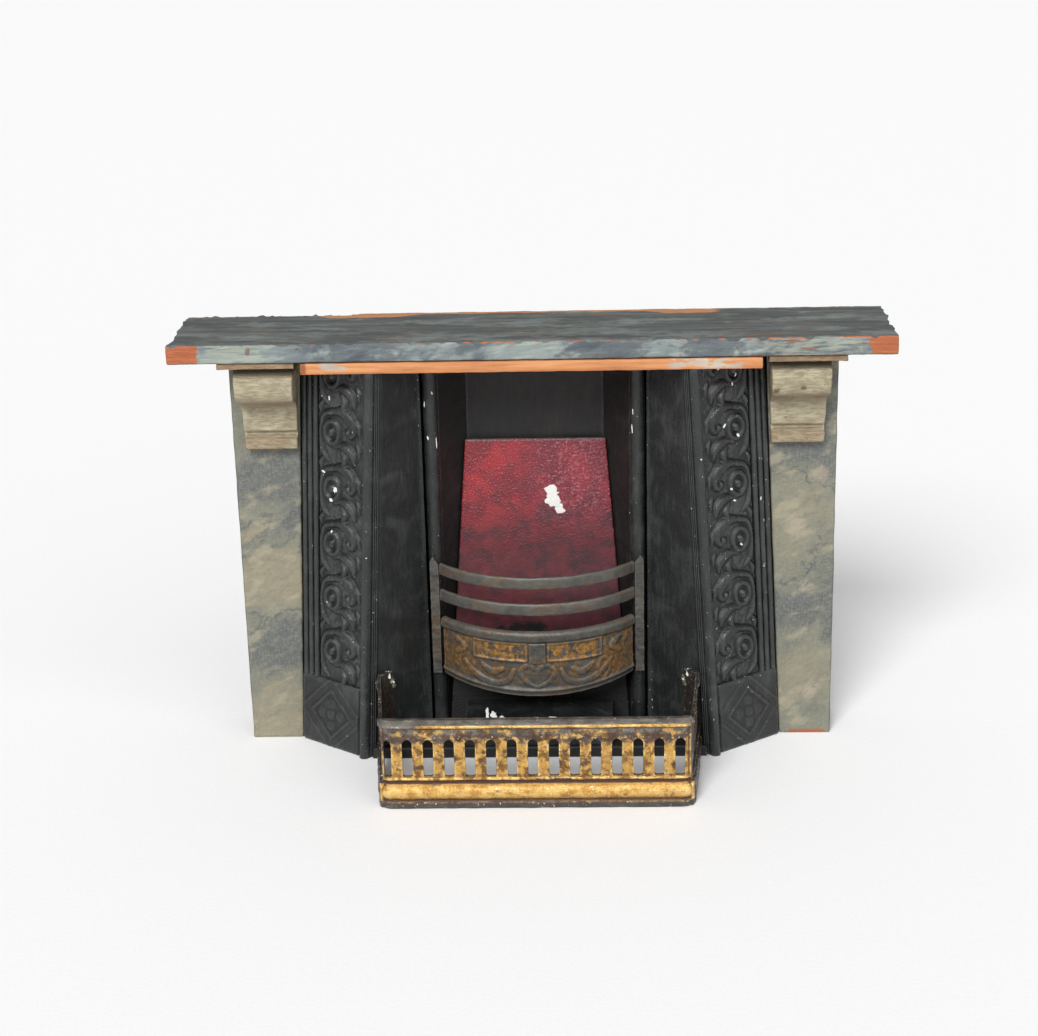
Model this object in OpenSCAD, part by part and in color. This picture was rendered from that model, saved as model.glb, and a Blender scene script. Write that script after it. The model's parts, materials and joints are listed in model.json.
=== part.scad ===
// Miniature fireplace mantel at 1:12 scale, in millimetres.
// +Z is up, +X is the viewer's right, and the hearth faces -Y.
// The origin is on the floor, at the middle of the whole object's outline.
// Depths are counted forwards from the front face of the jambs, so a negative depth lies behind it.

/* [Wooden surround] */
// Width of the mantel shelf
shelf_w = 180; // [176:1:190]
// Depth of the mantel shelf, front to wall
shelf_d = 29; // [28:0.5:32]
// Thickness of the mantel shelf
shelf_t = 5; // [4:0.5:7]
// Height of the shelf's top above the floor
mantel_h = 113; // [111:1:118]
// Thickness of the slabs that lie under the shelf, over the corbels
cap_t = 1.6; // [1.2:0.1:2]
// How far each slab passes the jamb's outer side
cap_over = 0.8; // [0.4:0.1:2]
// Distance from the centre to a jamb's outer side
jamb_outer_x = 77; // [76:0.5:80]
// Depth of a jamb, front face to wall
jamb_d = 15; // [14:0.5:17]
// Thickness of the bare board between the insert and the shelf
batten_h = 2.8; // [2:0.1:3]
// Half width of that board
batten_x = 57; // [55:0.5:57.5]

/* [Corbels] */
// Height of a corbel
corbel_h = 24; // [22:0.5:26]
// Distance from the centre to a corbel's middle
corbel_x = 66.7; // [66.6:0.1:68]
// Width of a corbel at its top
corbel_top_w = 15.2; // [14:0.1:15.2]
// Width of a corbel at its foot
corbel_foot_w = 13.5; // [12:0.1:14]
// How far a corbel's rounded top stands forward
corbel_reach = 12.4; // [11:0.1:13]
// How far a corbel's straight foot stands forward
corbel_foot_reach = 2.6; // [2:0.1:3.2]

/* [Cast insert] */
// Half width of the insert at its top
insert_top_x = 58.6; // [57:0.1:59]
// How much further out the insert's edge is at the floor
insert_spread = 4.9; // [3:0.1:6]
// Distance from the centre to the ridge at the top
ridge_top_x = 40.2; // [38:0.1:42]
// How much further out the ridge is at the floor
ridge_spread = 6; // [4:0.1:7]
// How far the ridge stands forward of the jambs
ridge_depth = 12.6; // [11:0.1:13]
// Width of the ridge
ridge_w = 2.8; // [2:0.1:3.4]
// Width of the reeded band beside the jamb
reed_band_w = 5.6; // [4:0.1:6.5]
// How deep the ornament's ground is sunk
ornament_sink = 0.9; // [0.5:0.1:1.2]
// Height of the plinth blocks
plinth_h = 19.2; // [17:0.1:21]
// How far a plinth block's face stands proud
plinth_proud = 0.8; // [0.4:0.1:1]
// Distance between the roundels of the ornament
roundel_pitch = 15; // [13:0.5:16]
// Thickness of the cheeks and of the recess walls
panel_t = 1.6; // [1.2:0.1:2]

/* [Fire recess] */
// Half width of the recess between its edge strips
recess_x = 24.4; // [23:0.1:26]
// Half width of the back of the recess
recess_back_x = 17.2; // [16:0.1:18]
// Width of an edge strip
strip_w = 3.8; // [3:0.1:4.2]
// Height of the fireback's top edge
fireback_top_z = 79.5; // [75:0.5:84]
// Lean of the fireback from upright, in degrees
fireback_lean = 7; // [5:0.5:8]
// Thickness of the fireback
fireback_t = 1.2; // [1:0.1:1.5]
// Thickness of the hearth plate
hearth_t = 3; // [2:0.5:4]
// Half width of the ash cover
ash_x = 19.3; // [17:0.1:21]
// Height of the ash cover's top
ash_top_z = 10.8; // [9:0.1:12]

/* [Grate] */
// Half width of the grate
grate_x = 27.8; // [27:0.1:28.2]
// How far the grate's middle stands forward of the jambs
grate_bow = 14.2; // [12:0.1:15]
// Height of the grate's lower edge
grate_foot_z = 19.6; // [18:0.1:21]
// How much lower the panel hangs at its middle
grate_dip = 2; // [1:0.1:3]
// Heights of the lower edges of the middle and top bars
bar_levels = [40.1, 47.3]; // [38:0.1:49]
// Height of each bar
bar_h = 3.3; // [2.8:0.1:3.6]
// Thickness of each bar
bar_t = 1.3; // [1:0.1:1.6]
// Height of the solid panel's top rail
rail_top_z = 35.5; // [34:0.1:37]
// Height of the posts' peaks
post_top_z = 52.4; // [51.6:0.1:54]
// Width of a post
post_w = 2.4; // [2:0.1:2.8]

/* [Fender] */
// Half width of the fender's front panel
fender_x = 38.9; // [37:0.1:40]
// How far the fender's front panel stands forward of the jambs
fender_reach = 41.5; // [38:0.5:44]
// Height of the fender
fender_h = 24.2; // [22:0.1:26]
// Thickness of the fender's panels
fender_t = 1.4; // [1:0.1:1.8]
// How far the base moulding stands proud
moulding_proud = 1; // [0.6:0.1:1.2]
// Number of arched slots along the front
slot_count = 15; // [11:2:15]
// Distance between slots
slot_pitch = 5.22; // [5:0.01:5.25]
// Width of a slot
slot_w = 2.3; // [1.8:0.1:2.6]
// Height of a slot
slot_h = 9.8; // [8:0.1:11]
// Height of the slots' lower ends
slot_z = 8.6; // [8:0.1:9]

/* [Hidden] */

// The clearance between bodies that move apart, and between panels that only meet.
gap = 0.3;
touch = 0.05;
// A cutter passes the surface that it cuts by this much.
cut = 1;

shelf_z = mantel_h - shelf_t;
cap_z = shelf_z - cap_t;
insert_h = shelf_z - batten_h;
total_d = jamb_d + fender_reach + moulding_proud;
wall_y = total_d / 2;
face_y = wall_y - jamb_d;
shelf_reach = shelf_d - jamb_d;
strip_reach = 0.6;
recess_front = strip_reach - strip_w;
recess_slope = (recess_x - recess_back_x) / (jamb_d + recess_front);
cheek_inner_x = recess_x + strip_w + 0.4;
fireback_d = jamb_d - 2.2;
bead_r = ridge_w / 2;
bead_base = -0.3;

// Colours
black_iron = [0.16, 0.17, 0.165];
dark_iron = [0.22, 0.23, 0.23];
gunmetal = [0.4, 0.39, 0.36];
marble = [0.5, 0.51, 0.47];
slate = [0.42, 0.44, 0.45];
stone = [0.72, 0.68, 0.58];
bare_wood = [0.82, 0.55, 0.33];
crimson = [0.55, 0.14, 0.18];
gilt = [0.72, 0.55, 0.24];

// ---------- Shared geometry ----------

// Half widths of the insert's edges, which spread towards the floor.
function outer_x(z) = insert_top_x + insert_spread * (insert_h - z) / insert_h;
function ridge_x(z) = ridge_top_x + ridge_spread * (insert_h - z) / insert_h;

// A point on the splayed face at height z: u runs along it from the jamb to the ridge, n stands out of it.
function face_start(z) = [outer_x(z), 0];
function face_end(z) = [ridge_x(z), ridge_depth];
function face_length(z) = norm(face_end(z) - face_start(z));
function face_dir(z) = (face_end(z) - face_start(z)) / face_length(z);
function face_point(z, u, n) =
    let (d = face_dir(z), p = face_start(z) + u * d + n * [d.y, -d.x])
    [p.x, face_y - p.y];

// Points of a half round moulding along the splayed face.
function half_round(z, u, r, base) =
    [for (a = [180:-30:0]) face_point(z, u + r * cos(a), base + r * sin(a))];

// Points along an arc, from one angle to another.
function arc_points(centre, r, from, to, steps) =
    [for (i = [0:steps]) let (a = from + (to - from) * i / steps) centre + r * [cos(a), sin(a)]];

// True if p lies in the clockwise triangle abc.
function in_triangle(p, a, b, c) =
    cross(b - a, p - a) <= 0 && cross(c - b, p - b) <= 0 && cross(a - c, p - c) <= 0;

// True if the corner i of a clockwise outline sticks out, with no other corner inside it.
function is_ear(outline, i) =
    let (n = len(outline), before = (i + n - 1) % n, after = (i + 1) % n)
    let (a = outline[before], b = outline[i], c = outline[after])
    cross(b - a, c - b) < 0
    && len([
        for (k = [0:n - 1])
            if (k != before && k != i && k != after && in_triangle(outline[k], a, b, c)) k
    ]) == 0;

// Splits a clockwise outline into triangles of indices by cutting off one ear at a time.
function triangles(outline, ids) =
    let (n = len(ids), corners = [for (k = ids) outline[k]])
    n == 3 ? [ids] :
    let (i = [for (k = [0:n - 1]) if (is_ear(corners, k)) k][0])
    concat(
        [[ids[(i + n - 1) % n], ids[i], ids[(i + 1) % n]]],
        triangles(outline, [for (k = [0:n - 1]) if (k != i) ids[k]])
    );

// A solid between two clockwise outlines with the same number of points, at heights z0 and z1.
module loft(lower, upper, z0, z1) {
    n = len(lower);
    ids = [for (i = [0:n - 1]) i];
    floor_faces = [for (t = triangles(lower, ids)) [t[2], t[1], t[0]]];
    top_faces = [for (t = triangles(upper, ids)) [n + t[0], n + t[1], n + t[2]]];
    sides = [for (i = ids) let (j = (i + 1) % n) each [[i, n + j, n + i], [i, j, n + j]]];
    polyhedron(
        concat([for (p = lower) [p.x, p.y, z0]], [for (p = upper) [p.x, p.y, z1]]),
        concat(floor_faces, sides, top_faces)
    );
}

// Places a shape on both sides of the centre line, one node at a time.
module on_side(side) {
    if (side > 0)
        children();
    else
        mirror([1, 0, 0]) children();
}

// Extrudes a side view, drawn as [reach, height], along X from x0 to x1.
module along_x(outline, x0, x1) {
    translate([x0, face_y, 0])
        rotate([90, 0, 90])
            linear_extrude(x1 - x0)
                polygon([for (p = outline) [-p.x, p.y]]);
}

// ---------- Wooden surround ----------

module mantel_shelf() {
    color(slate)
        translate([-shelf_w / 2, face_y - shelf_reach, shelf_z])
            cube([shelf_w, shelf_d, shelf_t]);
}

module frieze_batten() {
    color(bare_wood)
        translate([-batten_x, face_y - ridge_depth - bead_r - gap, insert_h])
            cube([2 * batten_x, jamb_d + ridge_depth + bead_r + gap, batten_h]);
}

module corbel_cap() {
    inner_over = 0.6;
    front_over = 0.8;
    inner_x = corbel_x - corbel_top_w / 2 - inner_over;
    front_reach = corbel_reach + front_over;
    color(stone)
        translate([inner_x, face_y - front_reach, cap_z])
            cube([jamb_outer_x + cap_over - inner_x, jamb_d + front_reach, cap_t]);
}

// The S-shaped side view of a corbel: a belly, a hollow, a straight shank, a groove and a foot fillet.
// The belly's arc and the hollow's arc meet on the line between their centres.
function corbel_outline() =
    let (
        foot_z = cap_z - corbel_h,
        shank_reach = corbel_foot_reach + 0.5,
        groove_reach = corbel_foot_reach - 0.6,
        fillet_reach = corbel_foot_reach + 0.8,
        fillet_h = 2.8,
        groove_h = 1,
        bevel = 0.6,
        belly_r = 4.8,
        hollow_r = 5.2,
        belly_x = corbel_reach - belly_r,
        hollow_x = shank_reach + hollow_r,
        meet = acos((hollow_x - belly_x) / (belly_r + hollow_r)),
        belly = [belly_x, cap_z - bevel - belly_r],
        hollow = [hollow_x, belly.y - (belly_r + hollow_r) * sin(meet)]
    )
    concat(
        [[0, cap_z], [belly.x + 1, cap_z]],
        arc_points(belly, belly_r, 80, -meet, 12),
        arc_points(hollow, hollow_r, 180 - meet, 180, 8),
        [
            [shank_reach, foot_z + fillet_h + groove_h + 2 * bevel],
            [groove_reach, foot_z + fillet_h + groove_h + bevel],
            [groove_reach, foot_z + fillet_h + bevel],
            [fillet_reach, foot_z + fillet_h],
            [fillet_reach, foot_z],
            [0, foot_z]
        ]
    );

module corbel() {
    foot_z = cap_z - corbel_h;
    color(stone)
        intersection() {
            along_x(corbel_outline(), corbel_x - corbel_top_w / 2, corbel_x + corbel_top_w / 2);
            translate([corbel_x, face_y + cut, 0])
                rotate([90, 0, 0])
                    linear_extrude(corbel_reach + 2 * cut)
                        polygon([
                            [-corbel_foot_w / 2, foot_z], [corbel_foot_w / 2, foot_z],
                            [corbel_top_w / 2, cap_z], [-corbel_top_w / 2, cap_z]
                        ]);
        }
}

module jamb() {
    color(marble)
        translate([0, wall_y, 0])
            rotate([90, 0, 0])
                linear_extrude(jamb_d)
                    polygon([
                        [outer_x(0), 0], [jamb_outer_x, 0],
                        [jamb_outer_x, cap_z], [outer_x(cap_z), cap_z]
                    ]);
}

// ---------- Cast insert ----------

reed_count = 3;
reed_pitch = reed_band_w / reed_count;
reed_r = reed_pitch / 2 - 0.1;
reed_base = -0.6;
ground_bevel = 0.4;

// Where the sunk ground of the ornament ends, beside the ridge.
function ground_end(z) = face_length(z) - bead_r - ground_bevel;

// The moulded front of a pilaster at height z, from the jamb to the ridge's inner side.
function pilaster_front(z) = concat(
    [face_point(z, 0, reed_base)],
    [for (i = [0:reed_count - 1]) each half_round(z, (i + 0.5) * reed_pitch, reed_r, reed_base)],
    [face_point(z, reed_band_w, -ornament_sink), face_point(z, ground_end(z), -ornament_sink)],
    half_round(z, face_length(z), bead_r, bead_base)
);

// The cheek runs from the ridge back to the edge strip. Its normal points into the hearth.
function cheek_front(z) = face_point(z, face_length(z) + bead_r + touch, -0.4);
function cheek_dir(z) =
    let (run = [cheek_inner_x, face_y] - cheek_front(z))
    run / norm(run);
function cheek_normal(z) = let (d = cheek_dir(z)) [-d.y, d.x];

// The back of a pilaster or plinth: behind the cheek, the edge strip and the recess side, then the wall.
function casting_back(z) =
    let (
        behind = cheek_normal(z) * (panel_t + touch),
        strip_back_y = face_y - recess_front + touch
    )
    [
        cheek_front(z) - behind,
        [cheek_inner_x, face_y] - behind,
        [recess_x + strip_w + touch, strip_back_y],
        [recess_x + panel_t + touch, strip_back_y],
        [recess_back_x + panel_t + touch, wall_y],
        [outer_x(z), wall_y]
    ];

module pilaster() {
    color(black_iron)
        loft(
            concat(pilaster_front(plinth_h), casting_back(plinth_h)),
            concat(pilaster_front(insert_h), casting_back(insert_h)),
            plinth_h, insert_h
        );
}

roundel_count = 5;
roundel_low_z = 27.4;
roundel_u = reed_band_w + 4.4;
ring_r = 2.4;
leaf_r = 1.8;
stem_r = 0.5;

// The ornament's thin base stands this far off the pilaster's ground.
base_off = 0.1;
base_t = 0.3;

// Part of a ring with a round section, the building block of the scrollwork.
module scroll(r, from, sweep) {
    rotate([0, 0, from])
        rotate_extrude(angle = sweep, $fn = 32)
            translate([r, stem_r])
                circle(stem_r, $fn = 16);
}

// One roundel: a ring with a boss, two leaves that curl on its ridge side, and a stem up to the next.
module roundel() {
    scroll(ring_r, 0, 360);
    cylinder(h = 0.9, r = 1.1, $fn = 24);
    translate([-5.2, 2.6, 0])
        scroll(leaf_r, -60, 230);
    translate([-4.8, -3.8, 0])
        scroll(leaf_r, 40, 200);
    translate([-0.8, 7.5, 0])
        scroll(ring_r + stem_r, -80, 120);
}

// Puts a shape on the sunk ground at height z, leaning with it. Its -X runs towards the ridge.
module on_ground(z) {
    d = face_dir(z);
    p = face_point(z, roundel_u, base_off - ornament_sink);
    above = face_point(z + 1, roundel_u, base_off - ornament_sink);
    lean = atan((above - p) * [d.y, d.x]);
    translate([p.x, p.y, z])
        rotate([90 + lean, 0, atan2(d.y, -d.x)])
            children();
}

// Outline of the ornament's base at height z.
function ornament_base(z) =
    let (
        back = base_off - ornament_sink,
        front = back + base_t,
        from = reed_band_w + base_off,
        to = ground_end(z) - base_off
    )
    [
        face_point(z, from, front), face_point(z, to, front),
        face_point(z, to, back), face_point(z, from, back)
    ];

module ornament() {
    low_z = plinth_h + base_off;
    high_z = insert_h - base_off;
    color(dark_iron) {
        loft(ornament_base(low_z), ornament_base(high_z), low_z, high_z);
        for (i = [0:roundel_count - 1])
            on_ground(roundel_low_z + i * roundel_pitch)
                roundel();
    }
}

// Outline of a plinth block at height z.
plinth_bevel = 0.6;
function plinth_outline(z) = concat(
    [
        face_point(z, 0, 0),
        face_point(z, plinth_bevel, plinth_proud),
        face_point(z, face_length(z) - bead_r - plinth_bevel, plinth_proud)
    ],
    half_round(z, face_length(z), bead_r, bead_base),
    casting_back(z)
);

module plinth() {
    color(black_iron)
        loft(plinth_outline(0), plinth_outline(plinth_h), 0, plinth_h);
}

// Outline of a cheek at height z: a thin panel from the ridge back to the edge strip.
function cheek_outline(z) =
    let (front = cheek_front(z), inner = [cheek_inner_x, face_y], back = cheek_normal(z) * panel_t)
    [front, inner, inner - back, front - back];

module cheek() {
    color(dark_iron)
        loft(cheek_outline(0), cheek_outline(insert_h), 0, insert_h);
}

module edge_strip() {
    color(black_iron)
        translate([recess_x + strip_w / 2, face_y - strip_reach + strip_w / 2, 0]) {
            cylinder(h = insert_h, d = strip_w, $fn = 48);
            translate([-strip_w / 2, 0, 0])
                cube([strip_w, strip_w / 2, insert_h]);
        }
}

module recess_side() {
    front_y = face_y - recess_front;
    color(black_iron)
        linear_extrude(insert_h)
            polygon([
                [recess_x, front_y], [recess_x + panel_t, front_y],
                [recess_back_x + panel_t, wall_y], [recess_back_x, wall_y]
            ]);
}

module back_plate() {
    half_w = recess_back_x + recess_slope * panel_t - touch;
    color(black_iron)
        linear_extrude(insert_h)
            polygon([
                [-recess_back_x + touch, wall_y], [recess_back_x - touch, wall_y],
                [half_w, wall_y - panel_t], [-half_w, wall_y - panel_t]
            ]);
}

// The fireback stands on the hearth plate and leans back between the recess walls, wider at its foot.
module fireback() {
    lean_run = tan(fireback_lean);
    foot_z = hearth_t + touch;
    height = (fireback_top_z - foot_z) / cos(fireback_lean) - fireback_t * lean_run;
    top_x = recess_x - recess_slope * (fireback_d + recess_front) - 0.2;
    foot_x = top_x + recess_slope * lean_run * (fireback_top_z - foot_z);
    color(crimson)
        translate([0, face_y + fireback_d, fireback_top_z])
            rotate([90 - fireback_lean, 0, 0])
                linear_extrude(fireback_t)
                    polygon([[-top_x, 0], [top_x, 0], [foot_x, -height], [-foot_x, -height]]);
}

// The floor of the insert, as wide as the cheeks and the recess leave room for.
module hearth_plate() {
    front = face_point(0, face_length(0) + bead_r, 0);
    strip_front_y = face_y - strip_reach - touch;
    back_y = wall_y - panel_t - touch;
    back_x = recess_x - recess_slope * (back_y - face_y + recess_front) - touch;
    right = [
        [front.x - 1, front.y], [cheek_inner_x - 0.4, strip_front_y], [recess_x - touch, strip_front_y],
        [recess_x - touch, face_y - recess_front], [back_x, back_y]
    ];
    left = [for (i = [len(right) - 1:-1:0]) [-right[i].x, right[i].y]];
    color(black_iron)
        linear_extrude(hearth_t)
            polygon(concat(right, left));
}

module ash_cover() {
    edge_r = 0.8;
    outline = concat(
        [[0, hearth_t], [ridge_depth, hearth_t]],
        arc_points([ridge_depth - edge_r, ash_top_z - edge_r], edge_r, 0, 90, 4),
        [[0, ash_top_z]]
    );
    color(dark_iron)
        along_x(outline, -ash_x, ash_x);
}

// ---------- Grate ----------

post_reach = 2.6;
bow_x = grate_x - post_w - touch;
bow_rise = grate_bow - post_reach;
bow_r = (bow_x * bow_x + bow_rise * bow_rise) / (2 * bow_rise);
bow_y = face_y - grate_bow + bow_r;
bow_angle = asin(bow_x / bow_r);

// A band that follows the grate's bow, from height z0 to z1, standing out to radius r.
module bow_band(z0, z1, r, t) {
    translate([0, bow_y, z0])
        rotate([0, 0, 270 - bow_angle])
            rotate_extrude(angle = 2 * bow_angle, $fn = 128)
                translate([r - t, 0])
                    square([t, z1 - z0]);
}

// The panel's lower edge is cut to a shallow curve that dips at the middle.
module grate_panel() {
    foot_r = (bow_x * bow_x + grate_dip * grate_dip) / (2 * grate_dip);
    cut_d = grate_bow + 10;
    color(gunmetal)
        intersection() {
            union() {
                bow_band(grate_foot_z - grate_dip, rail_top_z, bow_r - 0.4, bar_t - 0.2);
                bow_band(rail_top_z - 3, rail_top_z, bow_r, bar_t + 0.3);
                bow_band(grate_foot_z + 1.2, grate_foot_z + 2.2, bow_r - 0.1, bar_t);
            }
            translate([0, face_y + 5, grate_foot_z - grate_dip + foot_r])
                rotate([90, 0, 0])
                    cylinder(h = cut_d, r = foot_r, $fn = 256);
        }
}

module grate_bar(level) {
    color(gunmetal)
        bow_band(level, level + bar_h, bow_r, bar_t);
}

// A post with a small peaked ear at its top. It stands against the edge strip.
module grate_post() {
    shoulder_z = post_top_z - 1.6;
    back_reach = strip_reach + touch;
    color(gunmetal)
        translate([grate_x - post_w, face_y - back_reach, 0])
            rotate([90, 0, 0])
                linear_extrude(post_reach - back_reach)
                    polygon([
                        [0, grate_foot_z], [post_w, grate_foot_z], [post_w, shoulder_z],
                        [post_w * 0.6, post_top_z], [0, shoulder_z - 0.8]
                    ]);
}

// The basket's floor, a plate with round air holes that rests behind the panel.
module grate_floor() {
    inner_r = bow_r - bar_t - 0.2 - touch;
    floor_z = grate_foot_z + 3.2;
    floor_t = 1.2;
    half_w = recess_x - 0.6;
    hole_d = 2.4;
    hole_pitch = 6;
    first_row_reach = 7.5;
    color(black_iron)
        difference() {
            intersection() {
                translate([0, bow_y, floor_z])
                    cylinder(h = floor_t, r = inner_r, $fn = 128);
                translate([-half_w, face_y - grate_bow, floor_z])
                    cube([2 * half_w, grate_bow + 4, floor_t]);
            }
            for (i = [-3:3], j = [0:1])
                translate([i * hole_pitch, face_y - first_row_reach + j * hole_pitch, floor_z - cut])
                    cylinder(h = floor_t + 2 * cut, d = hole_d, $fn = 24);
        }
}

// ---------- Fender ----------

base_h = 6.7;
torus_r = 2.4;
fender_y = face_y - fender_reach;

// The fender's base moulding, as [reach, height] pairs: a square edge under a torus.
function base_section(front, t) =
    concat(
        [[front - t, 0], [front + moulding_proud - 0.2, 0], [front + moulding_proud - 0.2, 1.7]],
        arc_points([front + moulding_proud - torus_r, 4.2], torus_r, -60, 60, 8),
        [[front - 0.3, base_h], [front - t, base_h]]
    );

// The section above it: a groove, a fillet, the pierced band, a bead and the top flange.
function band_section(front, t) =
    concat(
        [
            [front - t, base_h], [front - 0.3, base_h], [front - 0.3, 7.5], [front + 0.4, 7.7],
            [front + 0.4, 8.3], [front - 0.2, 8.6], [front - 0.2, fender_h - 5.6],
            [front, fender_h - 5.4], [front, fender_h - 2.5]
        ],
        arc_points([front, fender_h - 2], 0.5, -90, 90, 4),
        [[front + 0.2, fender_h - 1.4], [front + 0.2, fender_h], [front - t, fender_h]]
    );

// An arched slot cutter that points along -Y.
module slot(depth) {
    r = slot_w / 2;
    translate([-r, -depth / 2, slot_z])
        cube([slot_w, depth, slot_h - r]);
    translate([0, depth / 2, slot_z + slot_h - r])
        rotate([90, 0, 0])
            cylinder(h = depth, r = r, $fn = 32);
}

first_slot_x = -fender_x + 1.6;
slot_cut = 8;

module fender_front() {
    color(gilt)
        difference() {
            union() {
                along_x(base_section(fender_reach, fender_t), -fender_x - 0.8, fender_x + 0.8);
                along_x(band_section(fender_reach, fender_t), -fender_x, fender_x);
            }
            for (i = [0:slot_count - 1])
                translate([first_slot_x + i * slot_pitch, fender_y, 0])
                    slot(slot_cut);
        }
}

arm_t = 1;
arm_slots = 4;
arm_tab = 4.5;
arm_front_y = fender_y + fender_t + touch;

// The arm ends where it meets the cheek, with the running gap between them.
arm_end = cheek_front(fender_h) + 2 * cheek_dir(fender_h) + gap * cheek_normal(fender_h);
arm_turn = atan2(arm_end.x - fender_x, arm_end.y - arm_front_y);
arm_run = norm(arm_end - [fender_x, arm_front_y]) - arm_t / 2;

// The arm's top edge, over its run: it dips between the front corner and the curled end.
arm_dip = 2.8;
arm_steps = 10;
function arm_top(k) = fender_h - 0.6 - arm_dip * sin(180 * k);

// The arm's far end stands over the hearth plate, so its lower edge is notched there.
arm_lift = hearth_t + gap;
arm_notch = 6;

// The arm's plate and mouldings, with its outer face on the YZ plane and its front end at the origin.
module arm_plate() {
    outline = concat(
        [[0, 0], [arm_run - arm_notch, 0], [arm_run - arm_notch, arm_lift], [arm_run, arm_lift]],
        [for (i = [arm_steps:-1:0]) [i * arm_run / arm_steps, arm_top(i / arm_steps)]]
    );
    intersection() {
        translate([0, arm_run, 0])
            rotate([90, 0, 0])
                linear_extrude(arm_run)
                    union() {
                        polygon(base_section(0, arm_t));
                        polygon(band_section(0, arm_t));
                    }
        translate([-arm_t - cut, 0, 0])
            rotate([90, 0, 90])
                linear_extrude(arm_t + moulding_proud + 2 * cut)
                    polygon(outline);
    }
}

// The end of an arm is bent inwards to lie along the cheek.
module arm_end_tab() {
    d = cheek_dir(fender_h);
    n = cheek_normal(fender_h);
    end = arm_end + d * arm_tab;
    translate([0, 0, arm_lift])
        linear_extrude(arm_top(1) - arm_lift)
            polygon([arm_end, end, end + n * arm_t, arm_end + n * (arm_t + 0.4)]);
}

module fender_arm() {
    color(gilt) {
        translate([fender_x, arm_front_y, 0])
            rotate([0, 0, -arm_turn])
                difference() {
                    arm_plate();
                    for (i = [1:arm_slots])
                        translate([0, i * slot_pitch, 0])
                            rotate([0, 0, 90])
                                slot(slot_cut);
                }
        arm_end_tab();
    }
}

// ---------- Nodes ----------

mantel_shelf();
frieze_batten();
on_side(-1) corbel_cap();  // corbel_cap_left
on_side(1) corbel_cap();  // corbel_cap_right
on_side(-1) corbel();  // corbel_left
on_side(1) corbel();  // corbel_right
on_side(-1) jamb();  // jamb_left
on_side(1) jamb();  // jamb_right
on_side(-1) pilaster();  // pilaster_left
on_side(1) pilaster();  // pilaster_right
on_side(-1) ornament();  // ornament_left
on_side(1) ornament();  // ornament_right
on_side(-1) plinth();  // plinth_left
on_side(1) plinth();  // plinth_right
on_side(-1) cheek();  // cheek_left
on_side(1) cheek();  // cheek_right
on_side(-1) edge_strip();  // edge_strip_left
on_side(1) edge_strip();  // edge_strip_right
on_side(-1) recess_side();  // recess_side_left
on_side(1) recess_side();  // recess_side_right
back_plate();
fireback();
hearth_plate();
ash_cover();
grate_panel();
grate_bar(bar_levels[0]);  // grate_middle_bar
grate_bar(bar_levels[1]);  // grate_top_bar
on_side(-1) grate_post();  // grate_post_left
on_side(1) grate_post();  // grate_post_right
grate_floor();
fender_front();
on_side(-1) fender_arm();  // fender_arm_left
on_side(1) fender_arm();  // fender_arm_right
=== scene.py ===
"""The looks of the miniature fireplace mantel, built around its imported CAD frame.

Lengths are in millimetres up to the point where a mesh is made, and the frame is in metres.
On the splayed face of a pilaster, u runs from the jamb to the ridge and n stands out of the face.
"""

import json
import math

import bmesh
import bpy
import numpy as np
from mathutils import Matrix, Vector


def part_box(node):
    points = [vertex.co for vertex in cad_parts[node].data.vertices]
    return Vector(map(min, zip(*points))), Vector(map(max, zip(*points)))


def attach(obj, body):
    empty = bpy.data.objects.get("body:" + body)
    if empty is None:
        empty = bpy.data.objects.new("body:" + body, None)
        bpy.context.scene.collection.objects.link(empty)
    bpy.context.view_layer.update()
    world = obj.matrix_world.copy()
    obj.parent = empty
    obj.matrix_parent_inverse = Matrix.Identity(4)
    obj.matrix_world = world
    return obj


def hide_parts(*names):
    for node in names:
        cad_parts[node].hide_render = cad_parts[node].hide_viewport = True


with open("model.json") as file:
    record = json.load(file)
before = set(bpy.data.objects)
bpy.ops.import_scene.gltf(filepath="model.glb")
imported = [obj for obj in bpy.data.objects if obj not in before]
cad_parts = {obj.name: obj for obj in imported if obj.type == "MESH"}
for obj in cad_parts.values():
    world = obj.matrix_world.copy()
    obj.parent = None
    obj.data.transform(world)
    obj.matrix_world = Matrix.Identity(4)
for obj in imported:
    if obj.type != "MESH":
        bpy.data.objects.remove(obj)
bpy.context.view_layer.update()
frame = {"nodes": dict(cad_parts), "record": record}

MM = 0.001
LEFT, RIGHT = -1, 1
SIDE_NAMES = {LEFT: "left", RIGHT: "right"}
BODY_OF = {node: body for body, nodes in frame["record"]["behaviour"]["bodies"].items() for node in nodes}


def add_object(name, data):
    """Puts a new object in the scene."""
    item = bpy.data.objects.new(name, data)
    bpy.context.scene.collection.objects.link(item)
    return item


def box_mm(node):
    """A CAD node's lowest and highest corners, in millimetres."""
    low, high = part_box(node)
    return np.array(low) / MM, np.array(high) / MM


# ---- Dimensions shared with the CAD

JAMB_LOW, JAMB_HIGH = box_mm("jamb_left")
FACE_Y, WALL_Y, CAP_Z = JAMB_LOW[1], JAMB_HIGH[1], JAMB_HIGH[2]
INSERT_H = box_mm("cheek_left")[1][2]
PLINTH_H = box_mm("plinth_left")[1][2]
SHELF_LOW, SHELF_HIGH = box_mm("mantel_shelf")
FENDER_LOW, FENDER_HIGH = box_mm("fender_front")
OUTER_TOP_X, OUTER_SPREAD = 58.6, 4.9
RIDGE_TOP_X, RIDGE_SPREAD, RIDGE_DEPTH = 40.2, 6.0, 12.6
BEAD_R, BEAD_BASE = 1.4, -0.3
REED_BAND_W, REED_COUNT, REED_BASE = 5.6, 3, -0.6
ORNAMENT_SINK, GROUND_GAP, PLINTH_GROUND = 0.9, 0.4, 0.38
RECESS_X, RECESS_BACK_X, PANEL_T = 24.4, 17.2, 1.6
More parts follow.
